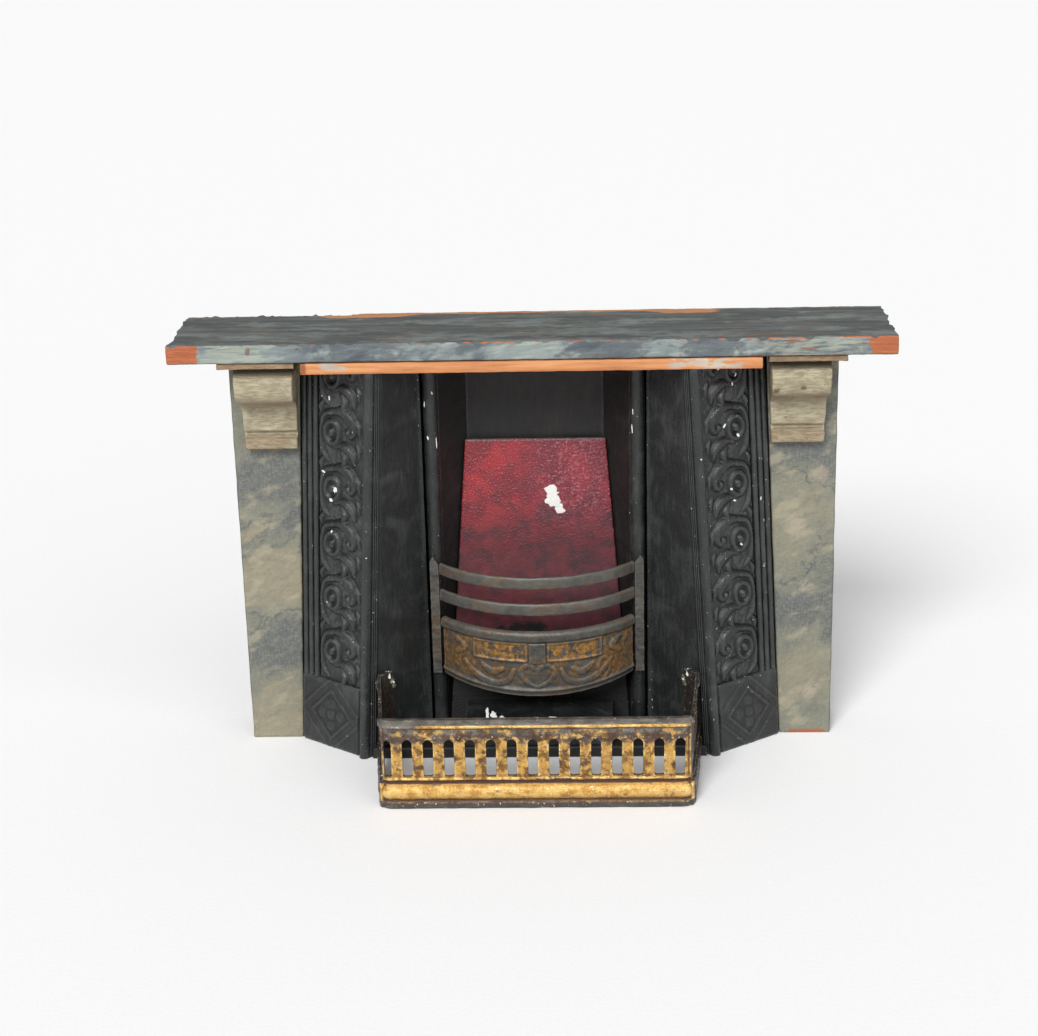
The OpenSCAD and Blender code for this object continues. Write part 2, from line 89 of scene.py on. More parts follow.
STRIP_W, STRIP_PROUD, STRIP_SEAM = 3.8, 0.6, 0.4
CHEEK_INNER_X, CHEEK_SINK = RECESS_X + STRIP_W + STRIP_SEAM, 0.4
TOUCH = 0.05


# ---- Mesh helpers


def lumps(points, size, seed, waves=28):
    """A smooth random field from about -1 to 1, with bumps of the given size in millimetres."""
    rng = np.random.default_rng(seed)
    frequency = rng.normal(size=(waves, 3)) * 2 / size
    phase = rng.uniform(0, 2 * math.pi, waves)
    field = np.sin(points @ frequency.T + phase).sum(1) / math.sqrt(waves / 2)
    return np.clip(field / 2, -1, 1)


def read_rows(items, key, width, kind=float):
    """An array of a mesh's data, with one row for each item."""
    values = np.empty(len(items) * width, dtype=kind)
    items.foreach_get(key, values)
    return values.reshape(-1, width)


def coordinates(mesh):
    """A mesh's points, in millimetres."""
    return read_rows(mesh.vertices, "co", 3) / MM


def normals(mesh):
    """A mesh's normals, one for each point."""
    return read_rows(mesh.vertex_normals, "vector", 3)


def set_coordinates(mesh, points):
    """Moves a mesh's points to places in millimetres."""
    mesh.vertices.foreach_set("co", (points * MM).ravel())
    mesh.update()


def roughen(mesh, depth, size, seed):
    """Presses random hollows into a mesh, which never grows. The depth may differ from point to point."""
    points = coordinates(mesh)
    hollow = (0.5 + 0.5 * lumps(points, size, seed)) * depth
    set_coordinates(mesh, points - normals(mesh) * hollow[:, None])


def neighbour_mean(values, edges):
    """Each point's mean of its neighbours' values."""
    total, count = np.zeros((2, len(values)))
    for a, b in (edges.T, edges.T[::-1]):
        np.add.at(total, a, values[b])
        np.add.at(count, a, 1)
    return total / np.maximum(count, 1)


def mark_edges(mesh, reach=2):
    """Stores how far each point stands out as "edge": 0.5 on the flat, 1 on a rim, 0 in a groove."""
    points, out = coordinates(mesh), normals(mesh)
    edges = read_rows(mesh.edges, "vertices", 2, np.int64)
    start, end = edges.T
    step = points[start] - points[end]
    step /= np.maximum(np.linalg.norm(step, axis=1), 1e-9)[:, None]
    bend, count = np.zeros((2, len(points)))
    np.add.at(bend, start, (out[start] * step).sum(1))
    np.add.at(bend, end, -(out[end] * step).sum(1))
    np.add.at(count, edges.ravel(), 1)
    bend /= np.maximum(count, 1)
    for _ in range(reach):
        bend = 0.5 * bend + 0.5 * neighbour_mean(bend, edges)
    contrast = 1.6
    layer = mesh.attributes.new("edge", "FLOAT", "POINT")
    layer.data.foreach_set("value", np.clip(0.5 + contrast * bend, 0, 1))


def add_piece(name, mesh, material, body="mantel", replaces=(), sharp=40):
    """Adds a mesh to the scene as a piece that rides on a body and may stand for CAD nodes."""
    mesh.shade_smooth()
    mesh.set_sharp_from_angle(angle=math.radians(sharp))
    mark_edges(mesh)
    mesh.materials.clear()
    mesh.materials.append(material)
    piece = add_object(name, mesh)
    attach(piece, body)
    if replaces:
        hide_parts(*replaces)


def mesh_from(name, points, faces, side=RIGHT):
    """A mesh from points in millimetres and faces, with its normals outwards. The left side is mirrored."""
    mesh = bpy.data.meshes.new(name)
    mesh.from_pydata((np.asarray(points, dtype=float) * (side * MM, MM, MM)).tolist(), [], faces)
    shape = bmesh.new()
    shape.from_mesh(mesh)
    bmesh.ops.recalc_face_normals(shape, faces=shape.faces)
    shape.to_mesh(mesh)
    shape.free()
    return mesh


def tube_faces(rows, n):
    """The faces between rows of n points each, and one over each end."""
    faces = [
        (r * n + i, r * n + (i + 1) % n, (r + 1) * n + (i + 1) % n, (r + 1) * n + i)
        for r in range(rows - 1)
        for i in range(n)
    ]
    return faces + [tuple(range(n))[::-1], tuple(range((rows - 1) * n, rows * n))]


def loft(name, rings, side=RIGHT):
    """A closed skin through rings of points, with a face over each end."""
    rings = np.array(rings)
    return mesh_from(name, rings.reshape(-1, 3), tube_faces(*rings.shape[:2]), side)


def relief_slab(name, front, back, side=RIGHT):
    """A closed skin with a full grid of points in front and one face over the outline at the back."""
    rows, columns = front.shape[:2]
    index = np.arange(rows * columns).reshape(rows, columns)
    quads = np.stack([index[:-1, :-1], index[:-1, 1:], index[1:, 1:], index[1:, :-1]], axis=2)
    rim = np.concatenate([index[0, :-1], index[:-1, -1], index[-1, :0:-1], index[:0:-1, 0]])
    behind = rows * columns + np.arange(len(rim))
    skirt = np.stack([np.roll(rim, -1), rim, behind, np.roll(behind, -1)], axis=1)
    points = np.concatenate([front.reshape(-1, 3), back.reshape(-1, 3)[rim]])
    faces = quads.reshape(-1, 4).tolist() + skirt.tolist() + [behind[::-1].tolist()]
    return mesh_from(name, points, faces, side)


def point_grid(point, *axes):
    """A grid of points from a function of grids of numbers."""
    place = np.vectorize(lambda *values: tuple(point(*values)), otypes=[float] * 3)
    return np.stack(place(*axes), axis=2)


def worn_copy(node, voxel, smooth=2):
    """A copy of a CAD node's mesh with fine, even faces and slightly rounded edges."""
    piece = add_object(node + "_source", frame["nodes"][node].data.copy())
    remesh = piece.modifiers.new("remesh", "REMESH")
    remesh.mode = "VOXEL"
    remesh.voxel_size = voxel * MM
    soften = piece.modifiers.new("soften", "SMOOTH")
    soften.iterations = smooth
    graph = bpy.context.evaluated_depsgraph_get()
    mesh = bpy.data.meshes.new_from_object(piece.evaluated_get(graph))
    mesh.name = node + "_worn"
    bpy.data.objects.remove(piece)
    return mesh


def worn_piece(node, voxel, material, depth=0.1, size=2.5, seed=1, smooth=2):
    """Replaces a CAD node with its worn copy."""
    mesh = worn_copy(node, voxel, smooth)
    roughen(mesh, depth, size, seed)
    add_piece(node + "_worn", mesh, material, BODY_OF[node], (node,), sharp=60)


# ---- Materials


def paint(red, green, blue):
    """A linear colour from an sRGB one."""
    values = [c / 255 for c in (red, green, blue)]
    return [v / 12.92 if v <= 0.04045 else ((v + 0.055) / 1.055) ** 2.4 for v in values] + [1.0]


class Paint:
    """One material under construction. Its coordinates are the object's own, in millimetres."""

    def __init__(self, name):
        self.material = bpy.data.materials.new(name)
        self.material.use_nodes = True
        self.tree = self.material.node_tree
        self.shader = self.tree.nodes["Principled BSDF"]
        coordinates_node = self.node("ShaderNodeTexCoord")
        scaled = self.node("ShaderNodeVectorMath", coordinates_node.outputs["Object"], operation="SCALE")
        self.fill(scaled, Scale=1 / MM)
        self.place = scaled.outputs[0]
        parts = self.node("ShaderNodeSeparateXYZ", self.place)
        self.x, self.y, self.z = parts.outputs
        self.colour = None

    def node(self, kind, *values, **settings):
        """A node of a kind with its settings, and its first inputs linked or set."""
        node = self.tree.nodes.new(kind)
        for key, value in settings.items():
            setattr(node, key, value)
        for socket, value in zip(node.inputs, values):
            self.feed(socket, value)
        return node

    def feed(self, socket, value):
        """Links a socket to another node, or sets its value."""
        if isinstance(value, bpy.types.NodeSocket):
            self.tree.links.new(value, socket)
        elif value is not None:
            socket.default_value = value

    def fill(self, node, **values):
        """Links or sets a node's inputs by name."""
        for key, value in values.items():
            self.feed(node.inputs[key], value)

    def math(self, operation, a, b=0.0, clamp=False):
        return self.node("ShaderNodeMath", a, b, operation=operation, use_clamp=clamp).outputs[0]

    def chain(self, operation, values):
        """Joins two or more values, one after another."""
        result = values[0]
        for value in values[1:]:
            result = self.math(operation, result, value)
        return result

    def add(self, *values):
        return self.chain("ADD", values)

    def times(self, *values):
        return self.chain("MULTIPLY", values)

    def either(self, *values):
        return self.chain("MAXIMUM", values)

    def blend(self, a, b, share):
        """A mean of two values, with the given share of the second."""
        return self.add(self.times(a, 1 - share), self.times(b, share))

    def inverse(self, a):
        return self.math("SUBTRACT", 1.0, a, clamp=True)

    def above(self, value, edge, soft):
        """0 below an edge and 1 above it, over a soft width."""
        low, high = edge - soft / 2, edge + soft / 2
        return self.node("ShaderNodeMapRange", value, low, high, interpolation_type="SMOOTHSTEP").outputs[0]

    def below(self, value, edge, soft):
        return self.inverse(self.above(value, edge, soft))

    def band(self, value, low, high, soft):
        """1 between two edges."""
        return self.times(self.above(value, low, soft), self.below(value, high, soft))

    def noise(self, size, detail=4, stretch=(1, 1, 1), turn=(0, 0, 0), twist=0.0, rough=0.55, shift=0.0):
        """Clouds from 0 to 1 whose patches are about size millimetres, stretched along the axes."""
        mapping = self.node("ShaderNodeMapping", self.place, vector_type="TEXTURE")
        self.fill(
            mapping,
            Rotation=[math.radians(a) for a in turn],
            Location=[shift * size * s for s in (1, 1.7, 0.6)],
            Scale=[size * s for s in stretch],
        )
        cloud = self.node("ShaderNodeTexNoise")
        self.fill(cloud, Vector=mapping.outputs[0], Scale=1.0)
        self.fill(cloud, Detail=detail, Roughness=rough, Distortion=twist)
        return cloud.outputs["Fac"]

    def patches(self, edge, soft, size, detail=4, **settings):
        """1 in the patches where noise() is above an edge."""
        return self.above(self.noise(size, detail, **settings), edge, soft)

    def cells(self, size):
        """Distance to the nearest of scattered points, for crackle."""
        mapping = self.node("ShaderNodeMapping", self.place)
        self.fill(mapping, Scale=[1 / size] * 3)
        cell = self.node("ShaderNodeTexVoronoi")
        self.fill(cell, Vector=mapping.outputs[0], Scale=1.0)
        return cell.outputs["Distance"]

    def edge(self):
        """How far the surface stands out here, from mark_edges()."""
        return self.node("ShaderNodeAttribute", attribute_name="edge").outputs["Fac"]

    def rims(self, edge, soft):
        return self.above(self.edge(), edge, soft)

    def grooves(self, edge, soft):
        return self.below(self.edge(), edge, soft)

    def spot(self, centre, radius, ragged=0.0, soft=0.6):
        """1 inside a ragged spot around a point."""
        away = self.node("ShaderNodeVectorMath", self.place, centre, operation="DISTANCE").outputs["Value"]
        if ragged:
            away = self.add(away, self.times(self.add(self.noise(1.6, 3), -0.5), ragged))
        return self.below(away, radius, soft)

    def ramp(self, value, *stops):
        """A colour from evenly spaced stops."""
        node = self.node("ShaderNodeValToRGB", value)
        elements = node.color_ramp.elements
        while len(elements) < len(stops):
            elements.new(0.5)
        for i, (element, colour) in enumerate(zip(elements, stops)):
            element.position = 0.25 + 0.5 * i / (len(stops) - 1)
            element.color = paint(*colour)
        return node.outputs[0]

    def over(self, below, mask, above):
        """Puts a colour over another where the mask is 1."""
        if isinstance(above, tuple):
            above = paint(*above)
        node = self.node("ShaderNodeMix", mask, data_type="RGBA")
        for socket, value in zip([s for s in node.inputs if s.type == "RGBA"], (below, above)):
            self.feed(socket, value)
        return [s for s in node.outputs if s.type == "RGBA"][0]

    def coat(self, mask, strength, colour):
        """Lays a colour over the material's colour so far, where the mask is 1."""
        self.colour = self.over(self.colour, self.times(mask, strength), colour)

    def finish(self, roughness, bump, depth, metallic=0.0, specular=0.5):
        """Feeds the shader. The bump's depth is in millimetres."""
        relief = self.node("ShaderNodeBump")
        self.fill(relief, Distance=depth * MM, Height=bump)
        self.fill(self.shader, Roughness=roughness, Metallic=metallic, Normal=relief.outputs[0])
        self.feed(self.shader.inputs["Base Color"], self.colour)
        self.feed(self.shader.inputs["Specular IOR Level"], specular)
        return self.material


def shelf_top(p, grain, ragged):
    """Streaky grey marbling on the board's top."""
    clouds = p.noise(14, 5, stretch=(1.7, 1, 1), twist=1.2)
    p.colour = p.ramp(p.blend(grain, clouds, 0.25), (44, 48, 48), (92, 96, 93), (142, 145, 137))
    p.coat(p.patches(0.5, 0.2, 2.0, 7, stretch=(16, 1, 1), rough=0.65, shift=8), 0.5, (54, 59, 61))
    pale = p.add(p.noise(6, 7, stretch=(4, 1, 1), rough=0.65, shift=5), p.times(ragged, 0.35))
    p.coat(p.above(pale, 0.57, 0.2), 0.45, (146, 154, 150))
    p.coat(p.patches(0.63, 0.05, 3.2, 5, stretch=(4, 1, 1), shift=12), 0.45, (122, 92, 72))
    return p.colour


def shelf_front(p, fine, ragged):
    """Slate, sage and cream marbling on the board's front edge, with rust at the right."""
    swirl = p.noise(9, 7, stretch=(1.9, 1, 0.8), turn=(0, -14, 0), twist=0.9, rough=0.6, shift=2)
    stops = (52, 58, 68), (96, 105, 110), (130, 140, 138), (156, 163, 156)
    p.colour = p.ramp(p.blend(swirl, fine, 0.2), *stops)
    streak = p.patches(0.58, 0.14, 2.4, 7, stretch=(4, 1, 0.7), turn=(0, -5, 0), shift=9)
    p.coat(streak, 0.5, (168, 176, 166))
    slate = p.patches(0.55, 0.12, 7, 6, stretch=(2, 1, 0.9), turn=(0, -20, 0), shift=15)
    p.coat(slate, 0.7, (64, 70, 82))
    drift = p.add(p.x, p.times(ragged, 22))
    smears = p.either(p.band(drift, -51, -33, 5), p.band(drift, 9, 28, 5), p.band(drift, 38, 52, 4))
    p.coat(p.times(smears, p.above(swirl, 0.44, 0.14)), 0.65, p.ramp(fine, (50, 55, 66), (84, 90, 98)))
    creams = p.either(p.band(drift, -82, -66, 5), p.band(drift, 58, 80, 6))
    p.coat(p.times(creams, p.above(fine, 0.46, 0.1)), 0.5, (164, 168, 148))
    rusty = p.patches(0.6, 0.05, 1.5, 6, stretch=(5, 1, 0.5), shift=21)
    p.coat(p.times(rusty, p.band(p.x, 54, 84, 6)), 0.7, (128, 66, 44))
    left_spot = p.spot((-69.5, SHELF_LOW[1], 111.2), 0.7, 2.4)
    right_spot = p.spot((-57.5, SHELF_LOW[1], 111.6), 0.5, 2.2)
    p.coat(p.either(left_spot, right_spot), 0.7, (104, 66, 46))
    return p.colour


def shelf_paint():
    """The board's marbling, and bare wood on its ends, its front arris and a strip along its back."""
    p = Paint("marbled_shelf_paint")
    grain = p.noise(1.7, 9, stretch=(14, 1, 1), rough=0.78)
    fine = p.noise(0.6, 6, stretch=(9, 1, 1), rough=0.7, shift=3)
    ragged = p.add(p.noise(1.6, 5, stretch=(1.6, 1, 1)), -0.5)
    depth = p.add(p.y, -SHELF_LOW[1])
    drop = p.math("SUBTRACT", SHELF_HIGH[2], p.z)
    on_front = p.below(depth, 0.35, 0.3)
    p.colour = p.over(shelf_top(p, grain, ragged), on_front, shelf_front(p, fine, ragged))
    ends = p.above(p.add(p.math("ABSOLUTE", p.add(p.x, -0.5)), p.times(ragged, 6)), 82.6, 0.6)
    arris = p.below(p.add(p.either(depth, drop), p.times(ragged, 1.8)), 0.3, 0.2)
    patchy = p.above(p.add(p.noise(7, 3, stretch=(2, 1, 1), shift=4), p.times(p.x, 0.0014)), 0.52, 0.1)
    chips = p.times(p.patches(0.7, 0.03, 2.4, 5, stretch=(2.4, 1, 0.8), shift=7), p.below(depth, 1.2, 1), 0.8)
    wood = p.ramp(p.blend(fine, grain, 0.4), (120, 62, 34), (168, 92, 54), (198, 126, 84))
    p.coat(p.either(p.times(ends, on_front), p.times(arris, patchy), chips), 1, wood)
    scallops = p.either(p.band(p.x, -54, -32, 12), p.band(p.x, 31, 48, 10))
    strip = p.add(p.y, p.times(ragged, 1.6), p.times(scallops, 2.6))
    back = p.times(p.above(strip, SHELF_HIGH[1] - 1.7, 0.5), p.band(p.x, -54, 47, 3))
    p.coat(back, 1, p.ramp(grain, (168, 110, 70), (208, 150, 104)))
    p.coat(p.below(p.add(p.z, p.times(ragged, 0.7)), SHELF_LOW[2] + 0.35, 0.3), 0.8, (92, 62, 46))
    height = p.add(grain, fine, p.times(ragged, 0.8))
    return p.finish(p.add(0.5, p.times(grain, 0.3)), height, 0.22)


def bare_wood():
    """The packing board's orange softwood, with smears of filler and painted shade at its left end."""
    p = Paint("bare_wood")
    grain = p.noise(0.7, 8, stretch=(24, 1, 1), rough=0.7, twist=0.3)
    clouds = p.noise(9, 4, stretch=(3, 1, 1))
    p.colour = p.ramp(p.blend(grain, clouds, 0.3), (140, 82, 44), (196, 130, 80), (224, 170, 120))
    smeared = p.either(p.band(p.x, -52, -45, 2), p.band(p.x, 34, 52, 3))
    smear = p.times(p.patches(0.5, 0.06, 1.5, 5, stretch=(3, 1, 0.7), shift=3), smeared)
    p.coat(smear, 0.85, p.ramp(clouds, (104, 104, 106), (206, 198, 180)))
    # painted shade: darker orange at the board's left end, beside the left corbel
    p.coat(p.below(p.x, -55.4, 0.8), 0.8, (122, 62, 34))
    p.coat(p.below(p.z, INSERT_H + 0.35, 0.3), 0.5, (190, 104, 56))
    return p.finish(0.6, grain, 0.14)


def stone_paint():
    """Stone-coloured paint on the corbels and their caps, with brown dirt and painted shade in the grooves,
    brown on worn rims, a painted shadow along the top of each corbel under its cap and painted shade under
    each corbel's belly.
    """
    p = Paint("stone_paint")
    grain = p.noise(1.1, 8, stretch=(8, 1, 1), rough=0.72, twist=0.5)
    clouds = p.noise(5, 6, shift=4)
    p.colour = p.ramp(p.blend(grain, clouds, 0.5), (124, 112, 88), (166, 156, 130), (192, 184, 160))
    specks = p.patches(0.55, 0.16, 0.5, 6, stretch=(5, 1, 1), rough=0.75, shift=2)
    p.coat(specks, 0.22, (96, 80, 58))
    p.coat(p.patches(0.68, 0.03, 0.9, 5, shift=13), 0.6, (84, 66, 46))
    # brown dirt and painted shade in the grooves
    p.coat(p.grooves(0.4, 0.12), 0.85, (76, 58, 38))
    rim = p.times(p.rims(0.66, 0.12), p.patches(0.42, 0.1, 3, 5, shift=7))
    p.coat(rim, 0.6, (108, 84, 58))
    # painted shadow: a dark band along the top of each corbel, just under its cap
    p.coat(p.band(p.z, CAP_Z - 2.4, CAP_Z, 0.9), 0.8, (74, 68, 54))
    # painted shade: a brown band under the belly of each corbel's curve
    p.coat(p.band(p.z, CAP_Z - 12.8, CAP_Z - 9, 2.5), 0.5, (112, 86, 58))
    foot = p.band(p.z, CAP_Z - 25, CAP_Z - 20.8, 0.8)
    p.coat(p.times(foot, p.above(clouds, 0.42, 0.2)), 0.4, (120, 82, 48))
    p.coat(p.above(p.z, CAP_Z + 0.05, 0.1), 0.7, p.ramp(grain, (92, 66, 44), (160, 124, 88)))
    for centre, radius in (((60.4, 2.6, 99.0), 1.1), ((67.2, 1.8, 99.4), 0.7)):
        p.coat(p.spot(centre, radius, 1.2), 0.8, (86, 62, 42))
    return p.finish(0.72, p.add(grain, p.times(specks, -0.6)), 0.12)


# Dabs of cream on the right jamb's marbling: x, z and radius.
CREAM_DABS = [(72.5, 73, 2.2), (66.8, 59, 2.6), (70.5, 41.5, 1.6), (71.5, 12.5, 2.2)]


def jamb_paint():
    """Marbling in drifting bands: slate high up and again low down, buff between and at the foot."""
    p = Paint("marbled_jamb_paint")
    weave = p.times(p.noise(0.3, 2, stretch=(5, 1, 1)), p.noise(0.3, 2, stretch=(1, 1, 5), shift=4))
    brush = p.noise(1.1, 7, stretch=(3, 1, 1), turn=(0, -30, 0), twist=0.8, rough=0.65)
    drift = p.add(p.noise(16, 6, stretch=(1.4, 1, 0.8), turn=(0, -32, 0), twist=1.3), -0.5)
    level = p.add(p.z, p.times(drift, 46), p.times(p.x, -0.1))
    sage = p.blend(p.noise(10, 5, shift=3), brush, 0.3)
    p.colour = p.ramp(sage, (90, 93, 86), (116, 117, 104), (134, 132, 114))
    buff = p.either(p.band(level, 46, 62, 10), p.band(level, 0, 19, 10))
    left = p.add(0.35, p.times(p.below(p.x, 0, 10), 0.4))
    p.coat(p.times(buff, left), 1, p.ramp(brush, (122, 114, 92), (160, 149, 124)))
    slate = p.either(p.band(level, 69, 86, 8), p.band(level, 26, 37, 8))
    p.coat(slate, 0.75, p.ramp(brush, (66, 71, 77), (96, 100, 100)))
    vein = p.either(p.band(level, 64, 65.6, 1.2), p.band(level, 40, 41.4, 1.2))
    p.coat(vein, 0.55, (64, 70, 78))
    cream = p.patches(0.6, 0.16, 6, 6, stretch=(1.4, 1, 0.8), turn=(0, -25, 0), shift=12)
    p.coat(cream, 0.5, (170, 160, 134))
    for x, z, radius in CREAM_DABS:
        dab = p.times(p.spot((x, FACE_Y, z), radius, 4, 2.6), p.above(brush, 0.42, 0.3))
        p.coat(dab, 0.6, (172, 158, 136))
    p.coat(p.above(weave, 0.28, 0.1), 0.3, (150, 147, 130))
    raw = p.times(p.below(p.add(p.z, brush), 1.7, 0.3), p.band(p.x, 66, 75.5, 1))
    p.coat(raw, 0.8, (158, 88, 50))
    p.coat(p.above(p.math("ABSOLUTE", p.x), 76.7, 0.2), 0.6, (66, 68, 66))
    return p.finish(0.62, p.add(brush, weave), 0.12)


def black_paint(name, tint, sheen, dust_and_sheen):
    """Brushed black over white plaster. Dust and a painted sheen lighten it in patches, a painted highlight
    lightens its rims, painted shade darkens its hollows, and white shows at a few worn points.
    """
    p = Paint(name)
    brush = p.noise(0.9, 7, stretch=(1, 1, 6), rough=0.65)
    clouds = p.noise(9, 6, twist=0.8)
    # the top stop is dust and a painted sheen, laid on in large patches
    p.colour = p.ramp(p.blend(brush, clouds, 0.6), (13, 14, 14), tint, dust_and_sheen)
    # painted highlight, with some real rubbing: lighter grey on the rims
    p.coat(p.rims(0.6, 0.2), 0.5, (66, 69, 68))
    # painted shade: near black in the hollows
    p.coat(p.grooves(0.44, 0.14), 0.9, (5, 6, 6))
    speck = p.times(p.patches(0.72, 0.015, 0.8, 3, shift=8), p.rims(0.53, 0.06))
    p.coat(speck, 1, (225, 225, 220))
    glint = p.patches(0.55, 0.1, 1.4, 4, shift=5)
    rough = p.add(sheen, p.times(clouds, 0.2), p.times(glint, p.rims(0.54, 0.1), -0.3))
    grit = p.add(p.times(brush, 0.6), p.noise(0.4, 4, rough=0.7))
    return p.finish(rough, grit, 0.12)


def crimson_paint():
    """Crackled crimson, sooty towards its foot, with glints at the upper right."""
    p = Paint("crimson_paint")
    clouds = p.noise(8, 5, twist=0.6)
    crackle = p.cells(0.55)
    fine = p.noise(0.6, 5, rough=0.7)
    right = p.above(p.add(p.x, p.times(clouds, 10)), 0, 26)
    p.colour = p.over(paint(158, 40, 46), right, (134, 42, 54))
    mottled = p.above(p.add(clouds, p.times(fine, 0.3)), 0.62, 0.2)
    p.coat(mottled, 0.6, (88, 32, 42))
    height = p.add(p.z, p.times(p.add(clouds, -0.5), 30))
    soot = p.below(height, 56, 22)
    p.coat(soot, 0.8, p.ramp(p.noise(3, 6, shift=3), (52, 32, 36), (98, 46, 52)))
    blot = p.patches(0.56, 0.2, 4.5, 6, shift=6, twist=0.5)
    p.coat(p.times(blot, p.below(height, 66, 14)), 0.65, (50, 38, 42))
    glints = p.times(p.patches(0.57, 0.08, 0.7, 4, shift=4), p.band(p.x, 1, 17, 8), p.above(p.z, 60, 10))
    p.coat(glints, 0.35, (190, 118, 128))
    p.coat(p.above(p.z, box_mm("fireback")[1][2] - 0.55, 0.3), 0.75, (104, 90, 90))
    p.coat(p.below(height, 27, 4), 1, (20, 19, 19))
    bump = p.times(p.add(p.times(crackle, 0.8), fine), p.inverse(p.times(soot, 0.7)))
    return p.finish(p.add(0.24, p.times(soot, 0.3)), bump, 0.16)


def stain_panel(p):
    """Gold in the grate panel's two frames, and rust on its flanks and along its foot."""
    side = p.math("ABSOLUTE", p.x)
    ragged = p.times(p.add(p.noise(1.4, 5, shift=5), -0.5), 7)
    across, up = p.add(side, ragged), p.add(p.z, ragged)
    gold = p.ramp(p.noise(0.8, 6, rough=0.75), (84, 58, 34), (158, 112, 54), (220, 176, 100))
    rust = p.ramp(p.noise(0.9, 6, rough=0.75, shift=19), (84, 56, 38), (136, 100, 56), (190, 146, 80))
    frames = p.times(p.band(across, 2.6, 16, 1.4), p.band(p.z, 27.3, 32.2, 0.8))
    p.coat(p.times(frames, p.patches(0.47, 0.1, 1.6, 6, shift=7)), 1, gold)
    flanks = p.times(p.above(across, 15, 2), p.band(up, 21, 33, 2))
    p.coat(p.times(flanks, p.patches(0.5, 0.1, 1.7, 6)), 0.85, rust)
    p.coat(p.times(p.band(up, 22, 28, 3), p.patches(0.5, 0.12, 2.4, 6, shift=17)), 0.6, rust)
    p.coat(p.spot((21.5, 2.5, 29.5), 2.6, 5), 0.7, (130, 56, 38))


def gunmetal(name, stained):
    """Worn grey metal."""
    p = Paint(name)
    grain = p.noise(0.9, 7, stretch=(3, 3, 1), rough=0.7)
    clouds = p.noise(5, 4)
    p.colour = p.ramp(p.blend(grain, clouds, 0.5), (54, 53, 50), (86, 84, 79), (110, 108, 100))
    p.coat(p.patches(0.57, 0.08, 3.2, 5, stretch=(2, 2, 1), shift=3), 0.5, (100, 74, 52))
    if stained:
        stain_panel(p)
    p.coat(p.grooves(0.44, 0.18), 0.4 if stained else 0.75, (42, 38, 34))
    p.coat(p.rims(0.58, 0.2), 0.25, (148, 144, 132))
    return p.finish(p.add(0.34, p.times(grain, 0.3)), grain, 0.15, metallic=0.4)


def gilding(p, z, ragged, patch):
    """Where gilding is left: in bands at the heights of the fender's mouldings, worn through in patches."""
    wide = p.noise(6, 5, stretch=(2, 1, 1), shift=5)
    torus = p.band(z, 1.9, 6.4, 0.5)
    fillet = p.times(p.band(z, 7.6, 8.9, 0.4), p.above(p.add(wide, p.times(ragged, 0.9)), 0.43, 0.12))
    balusters = p.times(p.band(z, 8.6, 17.4, 1.2), p.above(p.blend(patch, wide, 0.3), 0.44, 0.08))
    frieze = p.times(p.band(z, 16.4, 21.4, 0.8), p.above(p.blend(patch, wide, 0.4), 0.53, 0.06))
    bead = p.times(p.band(p.z, 21.6, 22.7, 0.2), p.above(p.x, -29, 3), p.rims(0.45, 0.1))
    speckle = p.patches(0.39, 0.08, 1.0, 6, rough=0.7, shift=14)
    outside = p.below(p.y, FENDER_HIGH[1] - 0.5, 0.4)
    return p.times(p.either(torus, fillet, balusters, frieze, bead), p.rims(0.38, 0.1), speckle, outside)


def gilt_metal():
    """Cast metal with worn gilding and a painted highlight on its gilded rims."""
    p = Paint("worn_gilt_metal")
    ragged = p.add(p.noise(1.1, 6, rough=0.7, shift=2), -0.5)
    fine = p.noise(0.5, 6, rough=0.75)
    patch = p.noise(2.2, 6, rough=0.65, shift=11)
    z = p.add(p.z, p.times(ragged, 1.3))
    gilded = gilding(p, z, ragged, patch)
    gold = p.ramp(p.blend(fine, patch, 0.4), (108, 72, 34), (200, 152, 76), (250, 222, 150))
    brown = p.ramp(fine, (46, 28, 20), (100, 62, 38))
    p.colour = p.ramp(p.noise(1.6, 6, stretch=(2, 1, 1)), (58, 54, 50), (98, 93, 87), (134, 128, 119))
    p.coat(p.band(p.z, 2, 20, 1), 0.5, brown)
    p.coat(gilded, 1, gold)
    # painted highlight: pale gold on the gilded rims
    p.coat(p.times(p.rims(0.53, 0.08), p.above(patch, 0.46, 0.14), gilded), 0.6, (252, 222, 146))
    p.coat(p.times(p.patches(0.55, 0.08, 2.8, 5, shift=9), p.band(p.z, 7, 22, 1)), 0.7, brown)
    p.coat(p.either(p.band(p.z, 6.5, 7.6, 0.3), p.grooves(0.4, 0.12)), 0.85, brown)
    p.coat(p.below(z, 1.6, 0.5), 0.7, (62, 54, 48))
    inside = p.times(p.above(p.y, FENDER_LOW[1] + 5, 1.5), p.grooves(0.56, 0.1))
    p.coat(inside, 0.85, p.ramp(patch, (20, 19, 18), (52, 46, 40)))
    p.coat(p.times(p.patches(0.67, 0.03, 0.8, 4, shift=6), p.rims(0.5, 0.1)), 1, (245, 232, 204))
    metallic = p.add(0.3, p.times(gilded, 0.4))
    return p.finish(p.add(0.22, p.times(ragged, 0.3)), p.add(fine, ragged), 0.2, metallic=metallic)


def plaster():
    p = Paint("black_cast_paint.chipped")
    grain = p.noise(0.5, 6, rough=0.75)
    p.colour = p.ramp(grain, (206, 204, 198), (240, 239, 236))
    return p.finish(0.85, grain, 0.12)


def glue():
    p = Paint("worn_gilt_metal.glue")
    clouds = p.noise(1.2, 5)
    p.colour = p.ramp(clouds, (58, 62, 50), (104, 104, 86), (170, 164, 144))
    return p.finish(0.35, clouds, 0.2)


